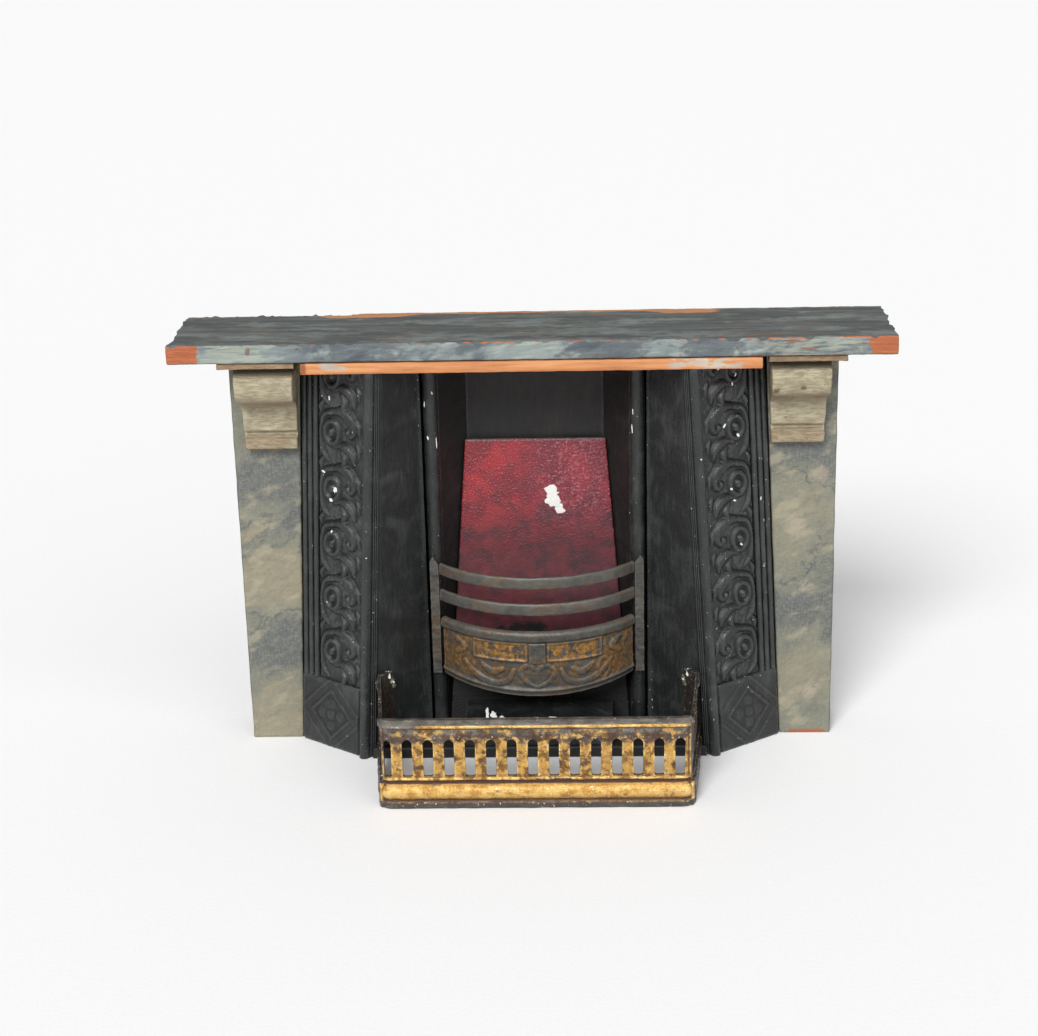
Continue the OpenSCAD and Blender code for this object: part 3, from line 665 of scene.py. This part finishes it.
SHELF, WOOD, STONE, JAMB = shelf_paint(), bare_wood(), stone_paint(), jamb_paint()
BLACK = black_paint("black_cast_paint", (32, 34, 34), 0.34, (70, 73, 73))
MATT = black_paint("matt_black_paint", (26, 24, 24), 0.5, (50, 42, 40))
CRIMSON, METAL, GILT = crimson_paint(), gunmetal("worn_gunmetal", False), gilt_metal()
STAINED_METAL = gunmetal("worn_gunmetal.gilded", True)
PLASTER, GLUE = plaster(), glue()


# ---- Wooden surround


def make_shelf():
    """The shelf's board, with ragged ends, a crumbled back edge at the left and a nibbled front arris."""
    mesh = worn_copy("mantel_shelf", 0.42, smooth=1)
    points = coordinates(mesh)
    x, y, z = points.T
    flat = points * np.array([0.2, 1, 1])
    ragged = 0.5 + 0.5 * lumps(flat, 1.1, 3)
    chunky = 0.5 + 0.5 * lumps(flat, 3.5, 4)
    end = np.clip((np.abs(x) - (SHELF_HIGH[0] - 2.5)) / 2.5, 0, 1)
    away = np.clip((y - SHELF_LOW[1] - 1) / 6, 0, 1)
    x -= np.sign(x) * end * away * (0.8 * ragged + 1.4 * chunky)
    crumbled = np.clip((-44 - x) / 3, 0, 1) * np.clip((y - SHELF_HIGH[1] + 1.6) / 1.6, 0, 1)
    along = 0.5 + 0.5 * lumps(points * np.array([1, 0.1, 0.1]), 1.2, 5)
    y -= crumbled * along * 1.3
    z -= crumbled * np.clip((z - SHELF_HIGH[2] + 2) / 2, 0, 1) * along * 0.8
    arris = np.clip(1 - (y - SHELF_LOW[1]) / 0.9, 0, 1) * np.clip(1 - (SHELF_HIGH[2] - z) / 0.9, 0, 1)
    nibble = np.clip(lumps(points * np.array([1, 0.2, 0.2]), 1.8, 6), 0, 1)
    y += arris * nibble * 0.7
    z -= arris * nibble * 0.6
    set_coordinates(mesh, np.stack([x, y, z], axis=1))
    roughen(mesh, 0.14, 3.5, 7)
    roughen(mesh, 0.07, 0.9, 8)
    add_piece("mantel_shelf_board", mesh, SHELF, replaces=("mantel_shelf",), sharp=60)


def make_surround():
    make_shelf()
    worn_piece("frieze_batten", 0.4, WOOD, depth=0.1, size=2, seed=11)
    for side, name in SIDE_NAMES.items():
        worn_piece("corbel_cap_" + name, 0.3, STONE, depth=0.16, size=1.6, seed=12 + side)
        worn_piece("corbel_" + name, 0.22, STONE, depth=0.14, size=3, seed=15 + side, smooth=5)
        worn_piece("jamb_" + name, 0.38, JAMB, depth=0.14, size=5, seed=18 + side)


# ---- Cast insert


def outer_x(z):
    return OUTER_TOP_X + OUTER_SPREAD * (INSERT_H - z) / INSERT_H


def ridge_x(z):
    return RIDGE_TOP_X + RIDGE_SPREAD * (INSERT_H - z) / INSERT_H


def face_line(z):
    """The splayed face at height z: its start, its direction and its length. y grows forwards here."""
    start = np.array([outer_x(z), 0.0])
    run = np.array([ridge_x(z), RIDGE_DEPTH]) - start
    length = np.linalg.norm(run)
    return start, run / length, length


def face_point(z, u, n):
    start, d, _ = face_line(z)
    x, reach = start + u * d + n * np.array([d[1], -d[0]])
    return [x, FACE_Y - reach, z]


def half_round(centre, radius, base, steps=12):
    """(u, n) pairs over a half round moulding."""
    turns = np.linspace(math.pi, 0, steps + 1)
    return [(centre + radius * math.cos(a), base + radius * math.sin(a)) for a in turns]


def cheek_front(z):
    return np.array(face_point(z, face_line(z)[2] + BEAD_R + TOUCH, -CHEEK_SINK)[:2])


def cheek_axes(z):
    """The cheek's direction, from the ridge back to the edge strip, and its normal into the hearth."""
    run = np.array([CHEEK_INNER_X, FACE_Y]) - cheek_front(z)
    d = run / np.linalg.norm(run)
    return d, np.array([-d[1], d[0]]), np.linalg.norm(run)


def casting_back(z):
    """The hidden side of a pilaster or plinth, as in the CAD."""
    behind = cheek_axes(z)[1] * (PANEL_T + TOUCH)
    strip_back_y = FACE_Y - STRIP_PROUD + STRIP_W + TOUCH
    corners = [
        cheek_front(z) - behind,
        np.array([CHEEK_INNER_X, FACE_Y]) - behind,
        (RECESS_X + STRIP_W + TOUCH, strip_back_y),
        (RECESS_X + PANEL_T + TOUCH, strip_back_y),
        (RECESS_BACK_X + PANEL_T + TOUCH, WALL_Y),
        (outer_x(z), WALL_Y),
    ]
    return [[x, y, z] for x, y in corners]


def heights(low, high, step):
    return np.linspace(low, high, int(round((high - low) / step)) + 1)


def pilaster_ring(z):
    length = face_line(z)[2]
    pitch = REED_BAND_W / REED_COUNT
    profile = [(0, REED_BASE)]
    for i in range(REED_COUNT):
        profile += half_round((i + 0.5) * pitch, pitch / 2 - 0.1, REED_BASE)
    ground_end = length - BEAD_R - GROUND_GAP
    profile += [(u, -ORNAMENT_SINK) for u in np.linspace(REED_BAND_W, ground_end, 14)]
    profile += half_round(length, BEAD_R, BEAD_BASE, 16)
    return [face_point(z, u, n) for u, n in profile] + casting_back(z)


LOZENGE_PETALS = [(i, j) for i in (-1, 0, 1) for j in (-1, 0, 1) if abs(i) + abs(j) < 2]


def plinth_relief(u, z, length):
    """Height of the plinth's worn lozenge and its border above the block's face."""
    pitch, petal_r, lozenge_r, border_r = 3.1, 1.5, 6.8, 10.5
    across, up = u - length / 2 + 0.5, z - PLINTH_H / 2
    height = 0.0
    for i, j in LOZENGE_PETALS:
        petal = math.hypot(across - pitch * i, up - pitch * j) / petal_r
        height = max(height, 0.42 * math.exp(-(petal**4)))
    corner = abs(across) + abs(up)
    height = max(height, 0.3 * math.exp(-(((corner / lozenge_r - 1) / 0.09) ** 2)))
    return max(height, 0.22 * math.exp(-(((corner - border_r) / 0.6) ** 2)))


def plinth_ring(z):
    length = face_line(z)[2]
    margin, bevel_w, bevel_h = 0.6, 0.5, 0.35
    edge = min(z, PLINTH_H - z)
    bevel = bevel_h * max(0.0, 1 - edge / bevel_w)
    profile = [(0, -bevel)]
    for u in np.linspace(margin, length - BEAD_R - margin, 60):
        profile.append((u, PLINTH_GROUND - bevel + plinth_relief(u, z, length)))
    profile += half_round(length, BEAD_R, BEAD_BASE, 16)
    return [face_point(z, u, n) for u, n in profile] + casting_back(z)


def cheek_ring(z):
    """A thin panel with three fine reeds beside the ridge."""
    d, n, length = cheek_axes(z)
    start = cheek_front(z)
    reed_pitch = 0.62
    profile = [(0, 0)]
    for i in range(3):
        profile += half_round(0.5 + (i + 0.5) * reed_pitch, 0.26, -0.24, 6)
    profile += [(u, -0.08) for u in np.linspace(2.8, length, 16)]
    front = [start + d * u + n * h for u, h in profile]
    back = [start + d * u - n * PANEL_T for u in np.linspace(length, 0, 8)]
    return [[x, y, z] for x, y in front + back]


# The scrollwork's strokes around one roundel: (u, z, radius) points, from the roundel's centre.
SCROLL_STROKES = [
    [
        (-1.2, -7.6, 0.3), (-3.0, -5.4, 0.6), (-3.6, -2.0, 0.5),
        (-3.5, 1.4, 0.5), (-2.4, 4.4, 0.6), (0.4, 5.5, 0.7),
    ],
    [(0.4, 5.5, 0.5), (3.4, 5.9, 1.0), (6.2, 4.6, 1.15), (7.6, 2.0, 0.9), (6.6, 0.0, 0.65), (5.2, 0.8, 0.6)],
    [(0.6, -3.9, 0.3), (3.0, -3.0, 0.7), (5.4, -3.6, 1.0), (7.2, -5.4, 0.85), (7.4, -7.4, 0.4)],
    [(3.0, -4.6, 0.3), (4.3, -6.6, 0.8), (3.6, -8.6, 0.6), (2.2, -9.4, 0.3)],
    [(8.0, 4.2, 0.3), (9.0, 2.4, 0.6), (9.2, 0.2, 0.3)],
    [(8.2, -2.2, 0.3), (9.0, -3.8, 0.55), (8.9, -5.4, 0.3)],
    [(-3.7, 5.2, 0.3), (-3.5, 6.8, 0.6), (-2.5, 8.4, 0.3)],
]
ROUNDEL_U = REED_BAND_W + 4.4
ROUNDEL_HEIGHTS = [27.4 + 15 * i for i in range(6)]
RELIEF_H = 1.3


def smooth_path(points, steps=9):
    """Points along a Catmull-Rom curve through the given ones."""
    p = np.array([points[0], *points, points[-1]], dtype=float)
    path = []
    for a, b, c, d in zip(p, p[1:], p[2:], p[3:]):
        square, cube = 2 * a - 5 * b + 4 * c - d, 3 * b - a - 3 * c + d
        for t in np.linspace(0, 1, steps, endpoint=False):
            path.append(0.5 * (2 * b + (c - a) * t + square * t**2 + cube * t**3))
    return np.array(path + [p[-1]])


def ring_path(radius_u, radius_z, thickness, steps=48):
    turns = np.linspace(0, 2 * math.pi, steps)
    return np.stack([radius_u * np.cos(turns), radius_z * np.sin(turns), np.full(steps, thickness)], axis=1)


def relief_heights(u, z, paths):
    """The height of rounded strokes over a grid of (u, z) places."""
    height = np.zeros(u.shape)
    for path in paths:
        for pu, pz, radius in path:
            near = (np.abs(u - pu) < radius) & (np.abs(z - pz) < radius)
            square = radius**2 - (u[near] - pu) ** 2 - (z[near] - pz) ** 2
            height[near] = np.maximum(height[near], np.sqrt(np.maximum(square, 0)))
    return height


def scrollwork(u, z):
    """The height of the whole running scroll, softened by many coats of paint."""
    motif = [smooth_path(stroke) * np.array([1, 1, 1.3]) for stroke in SCROLL_STROKES]
    motif += [ring_path(2.3, 2.9, 0.8), np.array([[0, 0.2, 1.1], [0, -0.2, 1.1]])]
    paths = [path + np.array([ROUNDEL_U, centre, 0]) for centre in ROUNDEL_HEIGHTS for path in motif]
    height = np.minimum(relief_heights(u, z, paths), RELIEF_H)
    for _ in range(3):
        middle = height[1:-1, 1:-1]
        around = height[:-2, 1:-1] + height[2:, 1:-1] + height[1:-1, :-2] + height[1:-1, 2:]
        height[1:-1, 1:-1] = 0.4 * middle + 0.15 * around
    return height


def make_ornament(side, name):
    """The scrollwork, on a thin skin that is clear of its band's edges."""
    margin, step = 0.12, 0.19
    zs = heights(PLINTH_H + margin, INSERT_H - margin, step)
    share = np.linspace(0, 1, 78)
    low_u = REED_BAND_W + margin
    spans = [face_line(z)[2] - BEAD_R - GROUND_GAP - margin - low_u for z in zs]
    u = low_u + np.array(spans)[:, None] * share[None, :]
    z = np.repeat(zs[:, None], len(share), axis=1)
    ground, skin = margin - ORNAMENT_SINK, 0.06
    front = point_grid(face_point, z, u, ground + skin + scrollwork(u, z))
    back = point_grid(face_point, z, u, np.full(u.shape, ground))
    mesh = relief_slab("ornament_" + name, front, back, side)
    roughen(mesh, 0.05, 0.8, 31 + side)
    add_piece("ornament_relief_" + name, mesh, BLACK, replaces=("ornament_" + name,), sharp=70)


def make_insert():
    for side, name in SIDE_NAMES.items():
        for kind, ring, low, high, step in (
            ("pilaster_", pilaster_ring, PLINTH_H, INSERT_H, 0.7),
            ("plinth_", plinth_ring, 0, PLINTH_H, 0.3),
            ("cheek_", cheek_ring, 0, INSERT_H, 0.8),
        ):
            mesh = loft(kind + name, [ring(z) for z in heights(low, high, step)], side)
            roughen(mesh, 0.08, 3, 21 + side)
            add_piece(kind + name + "_casting", mesh, BLACK, replaces=(kind + name,), sharp=50)
        make_ornament(side, name)
        worn_piece("edge_strip_" + name, 0.26, BLACK, depth=0.14, size=3, seed=41 + side)
        worn_piece("recess_side_" + name, 0.3, MATT, depth=0.16, size=2.5, seed=44 + side)
    worn_piece("back_plate", 0.35, MATT, depth=0.14, size=4, seed=47)
    worn_piece("hearth_plate", 0.35, MATT, depth=0.14, size=3, seed=48)
    worn_piece("ash_cover", 0.25, BLACK, depth=0.16, size=1.6, seed=49)


def make_fireback():
    """The crimson plate, its paint wrinkled at the upper right."""
    mesh = worn_copy("fireback", 0.32, smooth=1)
    points = coordinates(mesh)
    wrinkled = np.clip((points[:, 2] - 52) / 14, 0, 1) * np.clip((points[:, 0] + 4) / 10, 0, 1)
    roughen(mesh, 0.14 * (0.15 + 0.85 * wrinkled), 0.7, 51)
    add_piece("fireback_plate", mesh, CRIMSON, replaces=("fireback",), sharp=60)


# ---- Grate

# The panel's and bars' bow is an arc of radius BOW_R between the posts.
GRATE_X, POST_W, GRATE_BOW, POST_REACH = 27.8, 2.4, 14.2, 2.6
BOW_X = GRATE_X - POST_W - TOUCH
BOW_RISE = GRATE_BOW - POST_REACH
BOW_R = (BOW_X**2 + BOW_RISE**2) / (2 * BOW_RISE)
BOW_ANGLE = math.asin(BOW_X / BOW_R)


def bow_point(x, z, n):
    """A point on the grate's bow. x is measured along the front, and n stands out of it."""
    angle = math.asin(x / BOW_R)
    radius = BOW_R + n
    return [radius * math.sin(angle), FACE_Y - GRATE_BOW + BOW_R - radius * math.cos(angle), z]


def make_bar(node, seed):
    """A bar with a rounded section, a little uneven along its bow."""
    low, high = box_mm(node)
    middle, half_h = (low[2] + high[2]) / 2, (high[2] - low[2]) / 2
    half_t, squareness = 0.65, 0.6
    turns = np.linspace(0, 2 * math.pi, 28, endpoint=False)
    rings = []
    for angle in np.linspace(-BOW_ANGLE, BOW_ANGLE, 120):
        ring = []
        for t in turns:
            c, s = math.cos(t), math.sin(t)
            out = -half_t + half_t * math.copysign(abs(c) ** squareness, c)
            up = half_h * math.copysign(abs(s) ** squareness, s)
            ring.append(bow_point(BOW_R * math.sin(angle), middle + up, out))
        rings.append(ring)
    mesh = loft(node, rings)
    roughen(mesh, 0.12, 1.6, seed)
    add_piece(node + "_casting", mesh, METAL, replaces=(node,), sharp=70)


def frame_border(x, z, low_x, high_x, low_z, high_z, width=0.35):
    """1 on the border of a rectangle."""
    outside = np.maximum(np.maximum(low_x - x, x - high_x), np.maximum(low_z - z, z - high_z))
    return np.exp(-((outside / width) ** 2))


# The badge below the panels, and the swags beside it.
HEART_STROKE = [(0.0, 24.8, 0.6), (-2.4, 26.2, 0.7), (-4.6, 24.6, 0.7), (-3.2, 21.8, 0.7), (0.0, 19.9, 0.6)]
SWAG_STROKES = [
    [(-19.5, 25.6, 0.6), (-16.5, 22.4, 1.0), (-11.8, 20.6, 1.1), (-8.0, 21.8, 0.9), (-6.4, 24.8, 0.6)],
    [(-14.6, 25.6, 0.6), (-12.2, 23.8, 1.1), (-9.4, 24.8, 0.7)],
    [(-21.8, 31.2, 0.7), (-19.8, 29.4, 1.1), (-21.8, 27.2, 0.7)],
]


def panel_relief(x, z):
    """The height of the grate panel's cast relief."""
    height = 0.32 * frame_border(np.abs(x), z, 2.9, 16.8, 27.4, 32.2)
    block = (np.abs(x) < 2.2) & (z > 26.8) & (z < 32.4)
    height = np.maximum(height, np.where(block, 0.42, 0))
    paths = [smooth_path(HEART_STROKE)] + [smooth_path(s) for s in SWAG_STROKES]
    mirrored = [path * np.array([-1, 1, 1]) for path in paths]
    oval = ring_path(1.5, 2.8, 0.6) + np.array([17.6, 23.6, 0])
    return np.maximum(height, 0.38 * relief_heights(x, z, paths + mirrored + [oval]))


def make_panel():
    """The solid panel: a rounded rail along its top, relief below it, and a curved lower edge."""
    foot_z, dip, top_z, rail_h = 19.6, 2.0, 35.5, 3.0
    xs = np.linspace(-BOW_X, BOW_X, 230)
    share = np.linspace(0, 1, 88)
    bottom = foot_z - dip * (1 - (xs / BOW_X) ** 2)
    x = np.repeat(xs[None, :], len(share), axis=0)
    z = bottom[None, :] + share[:, None] * (top_z - bottom)[None, :]
    rail = np.clip(1 - ((z - top_z + rail_h / 2) / (rail_h / 2)) ** 4, 0, 1)
    lip = 0.5 * np.exp(-(((z - bottom[None, :] - 1.6) / 0.55) ** 2))
    proud, thickness = 0.75, 1.6
    height = np.maximum(np.maximum(panel_relief(x, z), lip), rail * proud) - proud
    front = point_grid(bow_point, x, z, height)
    back = point_grid(bow_point, x, z, np.full(x.shape, -thickness))
    mesh = relief_slab("grate_panel", front, back)
    roughen(mesh, 0.1, 1.1, 61)
    add_piece("grate_panel_casting", mesh, STAINED_METAL, replaces=("grate_panel",), sharp=70)


def make_grate():
    make_panel()
    make_bar("grate_top_bar", 62)
    make_bar("grate_middle_bar", 63)
    for name in SIDE_NAMES.values():
        worn_piece("grate_post_" + name, 0.12, METAL, depth=0.14, size=1.2, seed=64, smooth=4)
    worn_piece("grate_floor", 0.25, MATT, depth=0.1, size=1.5, seed=65)


def make_fender():
    """The fender's castings. The front's corners are rounded in plan."""
    mesh = worn_copy("fender_front", 0.21)
    points = coordinates(mesh)
    x, y, _ = points.T
    radius = 3.3
    across = np.abs(x) - (FENDER_HIGH[0] - radius)
    ahead = FENDER_LOW[1] + radius - y
    corner = (across > 0) & (ahead > 0)
    scale = np.ones(len(points))
    scale[corner] = np.maximum(across, ahead)[corner] / np.hypot(across, ahead)[corner]
    x -= np.sign(x) * across * (1 - scale)
    y += ahead * (1 - scale)
    set_coordinates(mesh, points)
    roughen(mesh, 0.14, 1.9, 71)
    add_piece("fender_front_worn", mesh, GILT, "fender", ("fender_front",), sharp=60)
    for name in SIDE_NAMES.values():
        worn_piece("fender_arm_" + name, 0.2, GILT, depth=0.16, size=1.1, seed=72, smooth=2)


# ---- Chips and glue


def flake(centre, normal, size, seed, thickness=0.14):
    """A ragged disc that lies on a surface, as points and faces. size is its width and height."""
    rng = np.random.default_rng(seed)
    count = 22
    out = Vector(normal).normalized()
    across = out.cross(Vector((0, 0, 1))).normalized() if abs(out.z) < 0.9 else Vector((1, 0, 0))
    up = across.cross(out)
    turns = np.linspace(0, 2 * math.pi, count, endpoint=False)
    reach = 0.5 * (0.72 + 0.28 * np.sin(turns * 2 + rng.uniform(0, 6)) + rng.uniform(-0.22, 0.22, count))
    points = []
    layers = ((-0.3, 1.0), (0.6, 1.0), (1.0, 0.8), (1.05, 0.35))
    for level, share in layers:
        for t, r in zip(turns, reach):
            a, b = size[0] * r * share * math.cos(t), size[1] * r * share * math.sin(t)
            points.append(Vector(centre) + across * a + up * b + out * (thickness * level))
    return [tuple(p) for p in points], tube_faces(len(layers), count)


def add_flakes(name, spots, material, body="mantel", thickness=0.14):
    """Joins flakes into one piece. A spot is (centre, normal, size)."""
    points, faces = [], []
    for i, (centre, normal, size) in enumerate(spots):
        more_points, more_faces = flake(centre, normal, size, 100 + i, thickness)
        faces += [tuple(k + len(points) for k in face) for face in more_faces]
        points += more_points
    add_piece(name, mesh_from(name, points, faces), material, body, sharp=70)


def face_spot(side, z, u, n, width, height):
    """A flake on a pilaster's splayed face."""
    x, y, _ = face_point(z, u, n)
    d = face_line(z)[1]
    return ((side * x, y, z), (side * d[1], d[0], 0), (width, height))


# Chips on each pilaster: height, u, n, width, height.
PILASTER_CHIPS = {
    LEFT: [
        (96.5, 9.6, -0.1, 0.8, 1.1), (93.5, 13.6, 0.0, 1.6, 0.9), (76.8, 7.7, 0.1, 1.1, 1.0),
        (72.5, 11.6, 0.1, 1.2, 2.8), (69.5, 10.2, 0.1, 2.0, 0.9), (61.0, 10.4, 0.1, 1.0, 0.8),
    ],
    RIGHT: [
        (103.6, 15.2, 0.0, 1.5, 0.6), (101.2, 9.8, 0.0, 0.9, 0.9), (99.0, 11.0, 0.1, 0.8, 0.9),
        (88.6, 14.0, 0.1, 1.0, 1.2), (85.4, 9.8, 0.1, 1.4, 1.0), (71.6, 12.6, 0.1, 0.9, 1.0),
        (68.4, 11.8, 0.1, 0.9, 0.8), (56.2, 10.2, 0.1, 0.9, 0.9), (67.2, 3.4, 0.2, 0.6, 0.9),
    ],
}

# Chips on the rounded edge strips: x, height, width, height.
STRIP_CHIPS = [
    (-27.6, 93.0, 0.5, 1.5),
    (-27.0, 84.0, 0.4, 1.8),
    (-25.6, 96.0, 0.7, 0.8),
    (-24.9, 82.6, 0.4, 3.2),
    (25.0, 85.6, 0.45, 3.0),
    (25.2, 90.2, 0.5, 1.6),
]

# Shards on the ash cover's top edge: x, distance in and up from the edge, tilt, width, height.
ASH_SHARDS = [
    (-13.4, 0.6, 0.5, -0.7, 1.6, 4.6),
    (-11.6, 0.5, 0.3, -0.6, 2.8, 3.4),
    (-9.4, 0.3, 0, -0.5, 1.6, 2.6),
    (-0.6, 0.3, 0, -0.5, 1.6, 0.9),
    (3.6, 0.3, 0, -0.5, 4.2, 0.7),
]

# The chip on the fireback: x, height above its middle, distance forward, width, height.
FIREBACK_CHIP = [(4.2, 1.2, 0, 6.6, 5.4), (5.6, -1.6, 0.1, 4.8, 4.4)]
FIREBACK_CHIP_Z, FIREBACK_LEAN, FIREBACK_T = 63.2, math.radians(7), 1.2


def strip_spot(x, z, width, height):
    """A flake on an edge strip's round front."""
    radius = STRIP_W / 2
    bulge = math.sqrt(max(0.0, radius**2 - (abs(x) - RECESS_X - radius) ** 2))
    return ((x, FACE_Y - STRIP_PROUD - 0.02 + radius - bulge, z), (0, -1, 0), (width, height))


def make_chips():
    """White plaster, showing where the black and crimson paint is chipped."""
    spots = [face_spot(side, *chip) for side, chips in PILASTER_CHIPS.items() for chip in chips]
    spots += [strip_spot(*chip) for chip in STRIP_CHIPS]
    add_flakes("plaster_chips", spots, PLASTER, thickness=0.1)
    low, high = box_mm("ash_cover")
    shards = [
        ((x, low[1] + back, high[2] + up), (0, tilt, 1), (width, height))
        for x, back, up, tilt, width, height in ASH_SHARDS
    ]
    add_flakes("ash_cover_chips", shards, PLASTER, thickness=0.18)
    low, high = box_mm("fireback")
    y = high[1] - (high[2] - FIREBACK_CHIP_Z) * math.tan(FIREBACK_LEAN) - FIREBACK_T
    chips = [
        ((x, y - ahead, FIREBACK_CHIP_Z + up), (0, -1, 0.12), (width, height))
        for x, up, ahead, width, height in FIREBACK_CHIP
    ]
    add_flakes("fireback_chip", chips, PLASTER, thickness=0.2)


# Spots on the fender's arm ends: distance inwards, ahead and down, turn, tilt, size.
GLUE_SPOTS = [(0, 1.2, 1.4, 1, 0.3, (3.4, 2.6)), (1.4, 0.8, 3.6, 1, 0, (2.4, 3.0))]
FLECK_SPOTS = [(0.5, 1.5, 1.0, 0.3, 0.4, (1.3, 1.9)), (1.6, 1.3, 3.0, 0.3, 0.2, (0.8, 0.6))]


def make_glue():
    """Old glue, with white flecks in it, where the fender's arms used to be stuck to the cheeks."""
    for side, name in SIDE_NAMES.items():
        low, high = box_mm("fender_arm_" + name)
        x = side * (max(abs(low[0]), abs(high[0])) - 3.4)
        for kind, rows, material, thickness in (
            ("glue_", GLUE_SPOTS, GLUE, 0.25),
            ("glue_flecks_", FLECK_SPOTS, PLASTER, 0.3),
        ):
            spots = [
                ((x - side * inwards, high[1] - ahead, high[2] - down), (-side * turn, -1, tilt), size)
                for inwards, ahead, down, turn, tilt, size in rows
            ]
            add_flakes(kind + name, spots, material, "fender", thickness)


# ---- Stage

CAMERA_PLACE = (16.6, -537.9, 262.9)
CAMERA_YAW, CAMERA_TILT, CAMERA_ROLL = 2.17, 20.01, -1.44
CAMERA_LENS = 78.97
SKY = 0.4
FLOOR = 20000


def add_camera():
    """A camera at the photograph's viewing angle."""
    yaw, tilt, roll = (math.radians(a) for a in (CAMERA_YAW, CAMERA_TILT, CAMERA_ROLL))
    aim = Matrix.Rotation(yaw, 4, "Z") @ Matrix.Rotation(math.pi / 2 - tilt, 4, "X")
    camera = add_object("camera", bpy.data.cameras.new("camera"))
    camera.matrix_world = Matrix.Translation(Vector(CAMERA_PLACE) * MM) @ aim @ Matrix.Rotation(roll, 4, "Z")
    camera.data.lens = CAMERA_LENS
    camera.data.sensor_width = 36
    camera.data.clip_start = 0.01
    bpy.context.scene.camera = camera


def add_light(name, azimuth, elevation, spread, strength):
    """A soft distant light. Azimuth 0 shines from the front, and it grows towards the right."""
    data = bpy.data.lights.new(name, "SUN")
    data.angle = math.radians(spread)
    data.energy = strength
    light = add_object(name, data)
    light.rotation_euler = (math.radians(90 - elevation), 0, math.radians(azimuth))


def add_stage():
    """A plain pale floor, a white surround and two soft lights."""
    corners = [(x * FLOOR, y * FLOOR, 0) for x, y in ((-1, -1), (1, -1), (1, 1), (-1, 1))]
    mesh = mesh_from("floor", corners, [(0, 1, 2, 3)])
    p = Paint("pale_floor")
    cloth = p.noise(0.9, 4)
    p.colour = p.ramp(cloth, (247, 247, 248), (252, 252, 252))
    mesh.materials.append(p.finish(0.9, cloth, 0.05, specular=0.1))
    add_object("floor", mesh)
    world = bpy.data.worlds.new("studio")
    world.use_nodes = True
    background = world.node_tree.nodes["Background"]
    background.inputs["Color"].default_value = (1, 1, 1, 1)
    background.inputs["Strength"].default_value = SKY
    bpy.context.scene.world = world
    bpy.context.scene.view_settings.view_transform = "Standard"
    add_light("key", -16, 39, 24, 2.6)
    add_light("fill", 35, 30, 60, 0.6)


add_camera()
add_stage()
make_surround()
make_insert()
make_fireback()
make_grate()
make_fender()
make_chips()
make_glue()
